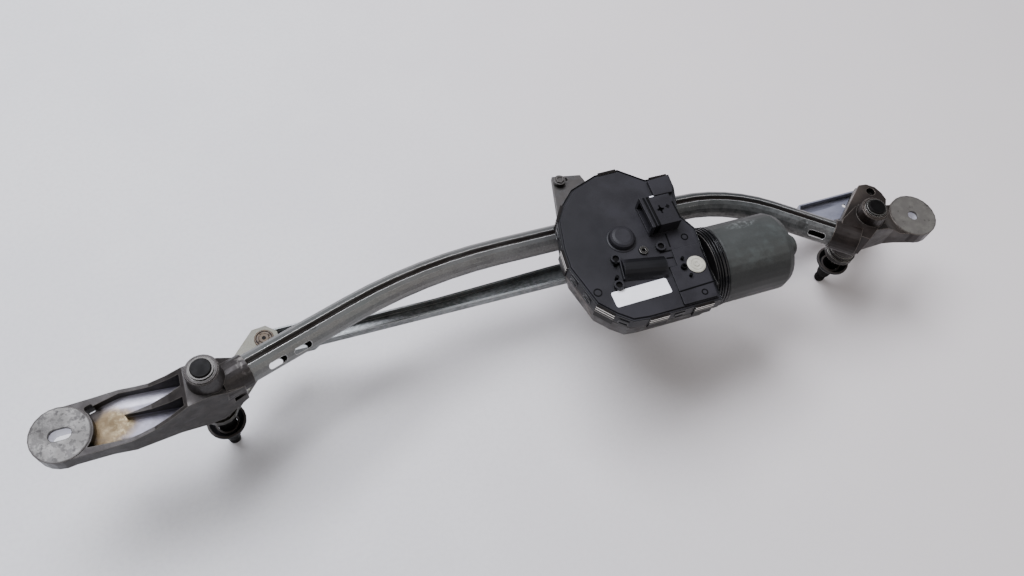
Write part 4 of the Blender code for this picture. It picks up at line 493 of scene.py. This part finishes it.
def lift(work, geometry, rise):
    verts = [part for part in geometry if isinstance(part, bmesh.types.BMVert)]
    bmesh.ops.translate(work, verts=verts, vec=(0.0, 0.0, rise))


def addBlock(work, centre, size, turn=0.0):
    place = Matrix.Translation(centre) @ Matrix.Rotation(turn, 4, "Z") @ Matrix.Diagonal((*size, 1.0))
    return bmesh.ops.create_cube(work, size=1.0, matrix=place)["verts"]


def addBar(work, start, end, width, low, high):
    # upright-sided bar between two plan points, heights given
    reach = Vector(end) - Vector(start)
    middle = (Vector(start) + Vector(end)) / 2
    return addBlock(work, (middle.x, middle.y, (low + high) / 2), (reach.length, width, high - low),
                    math.atan2(reach.y, reach.x))


def addPost(work, place, base, sizesMm, sides=20):
    # round post with a chamfered rim; sizes are radius, foot, top, and any bore and its depth
    radius, foot, top, bore, depth = (size / 1000 for size in (*sizesMm, 0.0, 0.0)[:5])
    ring = bmesh.ops.create_circle(work, cap_ends=True, radius=radius, segments=sides,
                                   matrix=Matrix.Translation((*place, base + foot)))["verts"]
    face = [f for f in ring[0].link_faces if all(v in f.verts for v in ring)][0]
    raised = bmesh.ops.extrude_face_region(work, geom=[face])["geom"]
    lift(work, raised, top - foot)
    crown = [part for part in raised if isinstance(part, bmesh.types.BMFace)]
    chamfer = radius * 0.12
    bmesh.ops.inset_region(work, faces=crown, thickness=chamfer, depth=0.0)
    for vert in crown[0].verts:
        vert.co.z += chamfer
    if bore:
        bmesh.ops.inset_region(work, faces=crown, thickness=radius - chamfer - bore, depth=0.0)
        lift(work, bmesh.ops.extrude_face_region(work, geom=crown)["geom"], -depth)
        bmesh.ops.delete(work, geom=crown, context="FACES")


def spinProfile(work, points, centre, steps=32, along="Z"):
    # closed ring from (radius, height) points, turned round a centre
    earlier = set(work.verts)
    verts = [work.verts.new((radius, 0.0, height)) for radius, height in points]
    edges = [work.edges.new((verts[place - 1], verts[place])) for place in range(len(verts))]
    bmesh.ops.spin(work, geom=verts + edges, cent=(0.0, 0.0, 0.0), axis=(0.0, 0.0, 1.0),
                   dvec=(0.0, 0.0, 0.0), angle=math.tau, steps=steps, use_merge=True)
    turn = Matrix.Rotation(math.radians(90), 4, "Y") if along == "X" else Matrix.Identity(4)
    bmesh.ops.transform(work, matrix=Matrix.Translation(centre) @ turn,
                        verts=[vert for vert in work.verts if vert not in earlier])


def softenEdges(work, widthMm, segments=2, angle=30):
    edges = [e for e in work.edges if len(e.link_faces) == 2 and e.calc_face_angle() > math.radians(angle)]
    bmesh.ops.bevel(work, geom=edges, offset=widthMm / 1000, offset_type="OFFSET", affect="EDGES",
                    segments=segments, profile=0.5, material=-1, clamp_overlap=True)


# bare label on the cover

label = {"middle": (-2.4, -49.5), "sizeMm": (48.6, 13.7), "thickMm": 0.22, "cornerMm": 1.7, "turnDeg": 1.0,
         "gapMm": 0.04}
work = bmesh.new()
square = bmesh.ops.create_grid(work, x_segments=1, y_segments=1, size=0.5)["verts"]
bmesh.ops.scale(work, verts=square, vec=(*(size / 1000 for size in label["sizeMm"]), 1.0))
thick, corner, gap = inMetres(label, "thickMm", "cornerMm", "gapMm")
bmesh.ops.bevel(work, geom=square, offset=corner, offset_type="OFFSET", affect="VERTICES", segments=6,
                profile=0.5, material=-1)
lift(work, bmesh.ops.extrude_face_region(work, geom=work.faces[:])["geom"], thick)
bmesh.ops.transform(work, verts=work.verts,
                    matrix=turnedPlace(fromAxis(*label["middle"]), coverTop + gap, label["turnDeg"]))
newPiece("coverLabel", work, labelPaper, "frame")

# cover: lip on its ledge, snap hooks, thin ribs, posts, round marks, steps of the dome and the bulge

coverRim = {
    "outline": ((25.5, 68.0), (4.0, 67.5), (-21.0, 58.5), (-34.5, 45.5), (-44.0, 31.5), (-49.5, 6.0),
                (-51.0, -13.0), (-41.5, -49.5), (-30.0, -62.3), (-18.5, -71.5), (-5.0, -73.0), (59.0, -73.0),
                (62.3, -41.8), (66.5, -4.6), (58.5, 12.0), (66.5, 38.0), (67.5, 52.0), (45.0, 52.0)),
    "insetMm": 1.25, "widthMm": 0.6, "dropMm": 1.8, "riseMm": 1.3}
inset, width, drop, rise = inMetres(coverRim, "insetMm", "widthMm", "dropMm", "riseMm")
corners = [Vector(fromAxis(x, y)) for x, y in coverRim["outline"]]
work = bmesh.new()
flat = work.faces.new([work.verts.new((*corner, coverTop - drop)) for corner in corners])
outer = bmesh.ops.inset_region(work, faces=[flat], thickness=inset, depth=0.0, use_boundary=True,
                               use_even_offset=True)["faces"]
bmesh.ops.delete(work, geom=outer, context="FACES")
band = bmesh.ops.inset_region(work, faces=[flat], thickness=width, depth=0.0, use_boundary=True,
                              use_even_offset=True)["faces"]
bmesh.ops.delete(work, geom=[flat], context="FACES_ONLY")
lift(work, bmesh.ops.extrude_face_region(work, geom=band, use_keep_orig=True)["geom"], rise)
newPiece("coverRimLip", work, mouldedGloss, "frame")

snapHooks = {   # places are an edge of the rim's outline and a share along it
    "places": ((2, 0.5), (4, 0.35), (6, 0.25), (6, 0.72), (8, 0.5), (10, 0.42), (17, 0.3)),
    "sizeMm": (9.0, 1.1, 5.5), "outMm": 0.1, "dropMm": 6.2,
    "toeMm": (7.2, 0.99, 1.2), "toeOutMm": 0.7, "toeDropMm": 8.8, "roundMm": 0.25}
middleOfAll = sum(corners, Vector((0.0, 0.0))) / len(corners)
work = bmesh.new()
for edge, share in snapHooks["places"]:
    start, end = corners[edge], corners[(edge + 1) % len(corners)]
    along = (end - start).normalized()
    out = Vector((along.y, -along.x))
    if out.dot(start - middleOfAll) < 0:
        out = -out
    for size, outKey, dropKey in (("sizeMm", "outMm", "dropMm"), ("toeMm", "toeOutMm", "toeDropMm")):
        outward, drop = inMetres(snapHooks, outKey, dropKey)
        spot = start.lerp(end, share) + out * outward
        addBlock(work, (*spot, coverTop - drop), [side / 1000 for side in snapHooks[size]],
                 math.atan2(along.y, along.x))
softenEdges(work, snapHooks["roundMm"])
newPiece("coverSnapHooks", work, mouldedGloss, "frame")

panelRibs = {"widthMm": 0.8, "riseMm": 0.7, "sinkMm": 0.2, "lines": (   # ends, height of the step below
    ((39.3, -3.9), (37.8, -16.2), 0.0), ((27.2, -19.4), (36.8, -19.6), 0.0),
    ((37.4, -19.8), (63.0, -20.1), 0.0), ((28.9, -42.2), (26.2, -69.5), 0.0),
    ((27.0, -57.8), (59.8, -56.6), 1.6), ((26.6, -34.6), (35.0, -35.0), 0.0),
    ((30.2, -25.7), (36.0, -26.4), 0.0), ((58.0, -66.0), (61.6, -24.0), 1.6))}
width, rise, sink = inMetres(panelRibs, "widthMm", "riseMm", "sinkMm")
work = bmesh.new()
for start, end, stepMm in panelRibs["lines"]:
    foot = coverTop + stepMm / 1000
    addBar(work, fromAxis(*start), fromAxis(*end), width, foot - sink, foot + rise)
newPiece("coverPanelRibs", work, shadeDarkRib, "frame")

posts = {"list": (   # place from the output axis, then radius, foot, top, bore and depth of bore, mm
    ((39.6, -38.2), (2.5, -0.2, 4.2, 1.3, 2.0)), ((41.4, -30.6), (1.3, -0.2, 4.4)),
    ((41.8, -46.9), (1.3, -0.2, 4.4)), ((-13.6, -20.4), (1.5, -0.2, 4.6)),
    ((-17.6, -32.8), (1.5, -0.2, 4.6)))}
work = bmesh.new()
for place, sizesMm in posts["list"]:
    addPost(work, fromAxis(*place), coverTop, sizesMm)
newPiece("coverPosts", work, shadeDarkRib, "frame")

roundMarks = {"widthMm": 0.9, "riseMm": 0.35, "sinkMm": 0.2, "list": (   # place, radius, foot, mm
    ((-36.5, -39.9), 3.6, 0.0), ((53.7, -10.6), 3.1, 0.0), ((46.8, -63.5), 2.7, 1.6))}
width, rise, sink = inMetres(roundMarks, "widthMm", "riseMm", "sinkMm")
work = bmesh.new()
for place, radiusMm, footMm in roundMarks["list"]:
    outer = radiusMm / 1000
    spinProfile(work, [(outer, -sink), (outer, rise), (outer - width, rise), (outer - width, -sink)],
                (*fromAxis(*place), coverTop + footMm / 1000), 28)
newPiece("coverRoundMarks", work, shadeDarkRib, "frame")

domeStep = {"middle": (1.0, 1.0), "radiusMm": 12.4, "riseMm": 0.8, "chamferMm": 0.6, "widthMm": 2.4,
            "sinkMm": 0.3}
outer, rise, chamfer, width, sink = inMetres(domeStep, "radiusMm", "riseMm", "chamferMm", "widthMm", "sinkMm")
work = bmesh.new()
spinProfile(work, [(outer, -sink), (outer, rise / 2), (outer - chamfer, rise), (outer - width, rise),
                   (outer - width, -sink)], (*fromAxis(*domeStep["middle"]), coverTop), 48)
newPiece("coverDomeStep", work, mouldedNylon, "frame")

bulgeFoot = {"middle": (8.0, -29.8), "turnDeg": -10.0, "alongMm": -18.8, "heightMm": 1.6,
             "sizeMm": (1.2, 19.0, 3.6), "roundMm": 0.3}
along, height = inMetres(bulgeFoot, "alongMm", "heightMm")
work = bmesh.new()
addBlock(work, (along, 0.0, height), [size / 1000 for size in bulgeFoot["sizeMm"]])
softenEdges(work, bulgeFoot["roundMm"])
bmesh.ops.transform(work, verts=work.verts,
                    matrix=turnedPlace(fromAxis(*bulgeFoot["middle"]), coverTop, bulgeFoot["turnDeg"]))
newPiece("coverBulgeFoot", work, mouldedNylon, "frame")
print("cover detailed")

# connector: marks on its roof, ribs on its collar, latch spring, blades inside

lowCorner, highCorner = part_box("connector_housing")
collar = {"wallMm": 1.2, "ribsMm": (0.8, 3.9, 7.2), "widthMm": 1.7, "riseMm": 1.1, "liftMm": 0.3,
          "overMm": 1.0, "footMm": 2.0, "teeth": 6, "toothMm": (2.4, 1.1, 0.7), "toothAtMm": 2.1,
          "roundMm": 0.2}
wall, width, rise, raised, over, foot, toothAt = inMetres(
    collar, "wallMm", "widthMm", "riseMm", "liftMm", "overMm", "footMm", "toothAtMm")
mouth, floor = lowCorner[0], lowCorner[2]
near, far, roof = lowCorner[1] + wall, highCorner[1] - wall, highCorner[2] - wall

roofMarks = {"riseMm": 0.5, "blocks": (   # keying marks: place from the output axis, length, width, turn
    ((38.6, 12.9), 3.4, 3.4, 45), ((38.6, 12.9), 7.6, 1.3, 90), ((38.6, 12.9), 6.0, 1.3, 0),
    ((45.4, 14.2), 2.6, 2.6, 45), ((51.2, 9.0), 1.0, 17.0, 0))}
markRise = roofMarks["riseMm"] / 1000
work = bmesh.new()
for place, lengthMm, widthMm, turnDeg in roofMarks["blocks"]:
    addBlock(work, (*fromAxis(*place), roof + markRise / 2), (lengthMm / 1000, widthMm / 1000, markRise),
             math.radians(turnDeg))
newPiece("connectorRoofMarks", work, shadeDarkRib, "frame")

work = bmesh.new()
for alongMm in collar["ribsMm"]:
    along = mouth + alongMm / 1000
    addBlock(work, (along, (near + far) / 2, roof + raised), (width, far - near + over, rise))
    addBlock(work, (along, near - over / 2, (floor + foot + roof) / 2), (width, rise, roof - floor - foot))
for place in range(collar["teeth"]):
    across = near + (far - near) * (place + 0.5) / collar["teeth"]
    addBlock(work, (mouth + toothAt, across, roof + raised), [size / 1000 for size in collar["toothMm"]])
softenEdges(work, collar["roundMm"])
newPiece("connectorCollarRibs", work, shadeDarkRib, "frame")

latch = {"at": (42.9, 32.6), "heightMm": 1.6, "sizeMm": (5.2, 2.0, 0.7), "roundMm": 0.2}
work = bmesh.new()
addBlock(work, (*fromAxis(*latch["at"]), coverTop + latch["heightMm"] / 1000),
         [size / 1000 for size in latch["sizeMm"]])
softenEdges(work, latch["roundMm"])
# a steel strip given the white label finish: painted glint
newPiece("connectorLatchSpring", work, labelPaper, "frame")

blades = {"sizeMm": (8.0, 0.6, 2.2), "rows": 2, "perRow": 5, "rowMm": 4.2, "marginMm": 4.0, "rootMm": 15.0,
          "roundMm": 0.12}
rowGap, margin, root = inMetres(blades, "rowMm", "marginMm", "rootMm")
size = [side / 1000 for side in blades["sizeMm"]]
work = bmesh.new()
for row in range(blades["rows"]):
    for column in range(blades["perRow"]):
        across = near + margin + (far - near - 2 * margin) * column / (blades["perRow"] - 1)
        addBlock(work, (mouth + root - size[0] / 2, across, floor + rowGap * (row + 1)), size)
softenEdges(work, blades["roundMm"], 1)
newPiece("connectorBlades", work, turnedRing, "frame")
print("connector detailed")

# vent plug's ring and dimple

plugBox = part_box("vent_plug")
plugMiddle, plugTop = middleOf(plugBox), plugBox[1][2]
plugRing = {"radiusMm": 5.4, "widthMm": 0.8, "riseMm": 0.35, "sinkMm": 0.1}
outer, width, rise, sink = inMetres(plugRing, "radiusMm", "widthMm", "riseMm", "sinkMm")
work = bmesh.new()
spinProfile(work, [(outer, -sink), (outer, rise * 0.6), (outer - width / 4, rise),
                   (outer - width * 0.75, rise), (outer - width, rise * 0.6), (outer - width, -sink)],
            (*plugMiddle, plugTop), 40)
newPiece("ventPlugRing", work, ventPolyester, "frame")
plugCap = {"postMm": (2.6, -0.1, 0.3, 1.4, 0.2)}    # radius, foot, top, bore, depth of bore
work = bmesh.new()
addPost(work, plugMiddle, plugTop, plugCap["postMm"])
newPiece("ventPlugCap", work, ventPolyester, "frame")

# motor: rings round its neck, a pressed ring on its end

canLow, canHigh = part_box("motor_can")
axisY, axisZ = (canLow[1] + canHigh[1]) / 2, (canLow[2] + canHigh[2]) / 2
neckRings = {"list": ((68.6, 33.9), (70.9, 34.3), (73.0, 34.6)),    # place from the output axis, radius
             "widthMm": 1.3, "riseMm": 0.9}
width, rise = inMetres(neckRings, "widthMm", "riseMm")
half = width / 2
work = bmesh.new()
for alongMm, radiusMm in neckRings["list"]:
    outer = radiusMm / 1000
    spinProfile(work, [(outer - rise, -half), (outer - rise / 3, -half), (outer, -half / 2),
                       (outer, half / 2), (outer - rise / 3, half), (outer - rise, half)],
                (outputAxis[0] + alongMm / 1000, axisY, axisZ), 64, "X")
newPiece("neckRings", work, mouldedGloss, "frame")

endRing = {"radiusMm": 24.0, "widthMm": 3.0, "chamferMm": 0.8, "riseMm": 0.6, "stepMm": 0.2,
           "fromEndMm": 14.0}
outer, width, chamfer, rise, step, fromEnd = inMetres(
    endRing, "radiusMm", "widthMm", "chamferMm", "riseMm", "stepMm", "fromEndMm")
inner = outer - width
work = bmesh.new()
spinProfile(work, [(outer, -step), (outer, step), (outer - chamfer, rise), (inner + chamfer, rise),
                   (inner, step), (inner, -step)], (canHigh[0] - fromEnd, axisY, axisZ), 48, "X")
newPiece("canEndRing", work, dipPaint, "frame")
print("motor detailed")

# threads of the two studs

thread = {"crestMm": 4.95, "rootMm": 4.55, "pitchMm": 1.25, "turns": 8, "startMm": 1.3, "steps": 28,
          "shares": (0.0, 0.42, 0.54, 0.96)}    # of the pitch: root, crest, crest, root
pitch, root, crest, foot = inMetres(thread, "pitchMm", "rootMm", "crestMm", "startMm")
for side, pivot in pivots.items():
    work = bmesh.new()
    ring = [work.verts.new((radius, 0.0, pitch * share))
            for radius, share in zip((root, crest, crest, root), thread["shares"])]
    edges = [work.edges.new((ring[place - 1], ring[place])) for place in range(4)]
    bmesh.ops.spin(work, geom=ring + edges, cent=(0.0, 0.0, 0.0), axis=(0.0, 0.0, 1.0),
                   dvec=(0.0, 0.0, pitch / thread["steps"]), angle=math.tau * thread["turns"],
                   steps=thread["steps"] * thread["turns"], use_merge=False)
    bmesh.ops.holes_fill(work, edges=[e for e in work.edges if len(e.link_faces) == 1], sides=4)
    bmesh.ops.translate(work, verts=work.verts, vec=(*pivot, foot))
    newPiece(f"{side}StudThread", work, phosphated, f"{side}_arm_drive")

# stake marks on the rivet heads, rims on the bosses, ribs on the rain caps

stakes = {   # heights are from the top of the head; posts are radius, foot, top, bore, depth of bore
    "radiusMm": 6.9, "widthMm": 0.9, "footMm": -1.6, "outerMm": -0.8, "innerMm": -0.4,
    "centreMm": (1.7, -0.2, 0.1, 1.1, 0.2), "centreSides": 9,
    "count": 4, "circleMm": 5.2, "firstTurn": 0.4, "markMm": (0.9, -1.0, -0.55, 0.6, 0.3), "markSides": 12}
outer, width, foot, high, low = inMetres(stakes, "radiusMm", "widthMm", "footMm", "innerMm", "outerMm")
circle = stakes["circleMm"] / 1000
for side in pivots:
    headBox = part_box(f"{side}_lever_ball_stud")
    middle, headTop = middleOf(headBox), headBox[1][2]
    work = bmesh.new()
    spinProfile(work, [(outer, foot), (outer, low), (outer - width, high), (outer - width, foot)],
                (*middle, headTop), 40)
    addPost(work, middle, headTop, stakes["centreMm"], stakes["centreSides"])
    for place in range(stakes["count"]):
        around = math.tau * place / stakes["count"] + stakes["firstTurn"]
        spot = (middle[0] + circle * math.cos(around), middle[1] + circle * math.sin(around))
        addPost(work, spot, headTop, stakes["markMm"], stakes["markSides"])
    newPiece(f"{side}StakeMarks", work, phosphated, f"{side}_arm_drive")

castOf = {"left": castLeft, "right": castRight}
bossRims = {"innerMm": 9.4, "outerMm": 11.2, "riseMm": 0.55, "sinkMm": 0.4}
inner, outer, rise, sink = inMetres(bossRims, "innerMm", "outerMm", "riseMm", "sinkMm")
for side, pivot in pivots.items():
    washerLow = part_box(f"{side}_top_washer")[0]
    work = bmesh.new()
    spinProfile(work, [(inner, -sink), (outer, -sink), (outer, rise * 0.5), (outer - rise / 2, rise),
                       (inner + rise / 2, rise), (inner, rise * 0.5)], (*pivot, washerLow[2]), 48)
    newPiece(f"{side}BossRim", work, castOf[side], "frame")

capRibs = {"radiusMm": 14.9, "ribMm": 0.5, "belowRimMm": 2.4}
outer, rib, below = inMetres(capRibs, "radiusMm", "ribMm", "belowRimMm")
for side, pivot in pivots.items():
    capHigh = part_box(f"{side}_rain_cap")[1]
    work = bmesh.new()
    spinProfile(work, [(outer - rib, -rib), (outer, -rib), (outer + rib * 0.8, 0.0), (outer, rib),
                       (outer - rib, rib)], (*pivot, capHigh[2] - below), 40)
    newPiece(f"{side}CapRib", work, mouldedRubber, f"{side}_arm_drive")
print("pivots detailed")

# gear housing: webs under the pan, hexagon on the tab's bolt

webs = {"count": 7, "firstDeg": 15, "spreadDeg": 330, "tubeDeg": (40, 140),    # the tube runs between these
        "innerMm": 14.0, "outerMm": 36.0, "thickMm": 2.4, "lowMm": 93.0, "highMm": 102.0,
        "tipFromMm": 30.0, "tipRiseMm": 7.0, "nearMm": 0.1}
inner, outer, thick, low, high, tipFrom, tipRise, near = inMetres(
    webs, "innerMm", "outerMm", "thickMm", "lowMm", "highMm", "tipFromMm", "tipRiseMm", "nearMm")
middle = Vector(outputAxis)
work = bmesh.new()
for place in range(webs["count"]):
    aroundDeg = webs["firstDeg"] + place * webs["spreadDeg"] / webs["count"]
    if webs["tubeDeg"][0] < aroundDeg < webs["tubeDeg"][1]:
        continue
    arm = Vector((math.cos(math.radians(aroundDeg)), math.sin(math.radians(aroundDeg))))
    for vert in addBar(work, middle + arm * inner, middle + arm * outer, thick, low, high):
        if vert.co.z < low + near and (Vector(vert.co[:2]) - middle).length > tipFrom:
            vert.co.z += tipRise
newPiece("panWebs", work, castGear, "frame")

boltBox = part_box("tab_bolt")
boltSocket = {"postMm": (4.0, -0.2, 0.8, 2.6, 0.7), "sides": 6}    # radius, foot, top, bore, depth of bore
work = bmesh.new()
addPost(work, middleOf(boltBox), boltBox[1][2], boltSocket["postMm"], boltSocket["sides"])
newPiece("tabBoltSocket", work, castGear, "frame")
print("gear housing detailed")

# floor, light and camera

floorPlane = {"size": 6.0, "height": -0.0002}
work = bmesh.new()
bmesh.ops.create_grid(work, x_segments=1, y_segments=1, size=floorPlane["size"] / 2,
                      matrix=Matrix.Translation((0.0, 0.0, floorPlane["height"])))
mesh = bpy.data.meshes.new("benchTop")
work.to_mesh(mesh)
work.free()
mesh.materials.append(paleBoard)
bench = bpy.data.objects.new("benchTop", mesh)
bpy.context.scene.collection.objects.link(bench)

lightAim = (0.0, 0.0, 0.05)
lights = {
    "windowLight": {"at": (-0.50, 0.85, 2.00), "size": (1.9, 1.2), "watts": 92, "hex": "#f4f6ff"},
    "roomFill": {"at": (1.3, -1.0, 1.5), "size": (1.6, 1.6), "watts": 9, "hex": "#fff6ee"}}
for name, light in lights.items():
    lamp = bpy.data.lights.new(name, "AREA")
    lamp.shape = "RECTANGLE"
    lamp.size, lamp.size_y = light["size"]
    lamp.energy = light["watts"]
    lamp.color = hexToLinear(light["hex"])[:3]
    stand = bpy.data.objects.new(name, lamp)
    stand.location = light["at"]
    aim = Vector(lightAim) - Vector(light["at"])
    stand.rotation_euler = aim.to_track_quat("-Z", "Y").to_euler()
    bpy.context.scene.collection.objects.link(stand)
sky = {"hex": "#e9eaee", "strength": 0.42}
room = bpy.data.worlds.new("room")
room.use_nodes = True
room.node_tree.nodes["Background"].inputs[0].default_value = hexToLinear(sky["hex"])
room.node_tree.nodes["Background"].inputs[1].default_value = sky["strength"]
bpy.context.scene.world = room

view = {"sensorMm": 36.0, "lensMm": 30.23, "fromLeftPivot": (0.0662, -0.2854), "height": 0.7160,
        "right": (0.9383, -0.3284, 0.1086), "forward": (0.2520, 0.4339, -0.8650)}
camera = bpy.data.objects.new("photoCamera", bpy.data.cameras.new("photoCamera"))
camera.data.sensor_width = view["sensorMm"]
camera.data.lens = view["lensMm"]
right = Vector(view["right"]).normalized()
forward = Vector(view["forward"])
forward = (forward - right * forward.dot(right)).normalized()
down = forward.cross(right)
turn = Matrix((right, -down, -forward)).transposed().to_4x4()
offset = view["fromLeftPivot"]
place = (offset[0] + leftPivot[0], offset[1] + leftPivot[1], view["height"])
camera.matrix_world = Matrix.Translation(place) @ turn
bpy.context.scene.collection.objects.link(camera)
bpy.context.scene.camera = camera
print("stage, light and camera set")

bpy.context.view_layer.update()
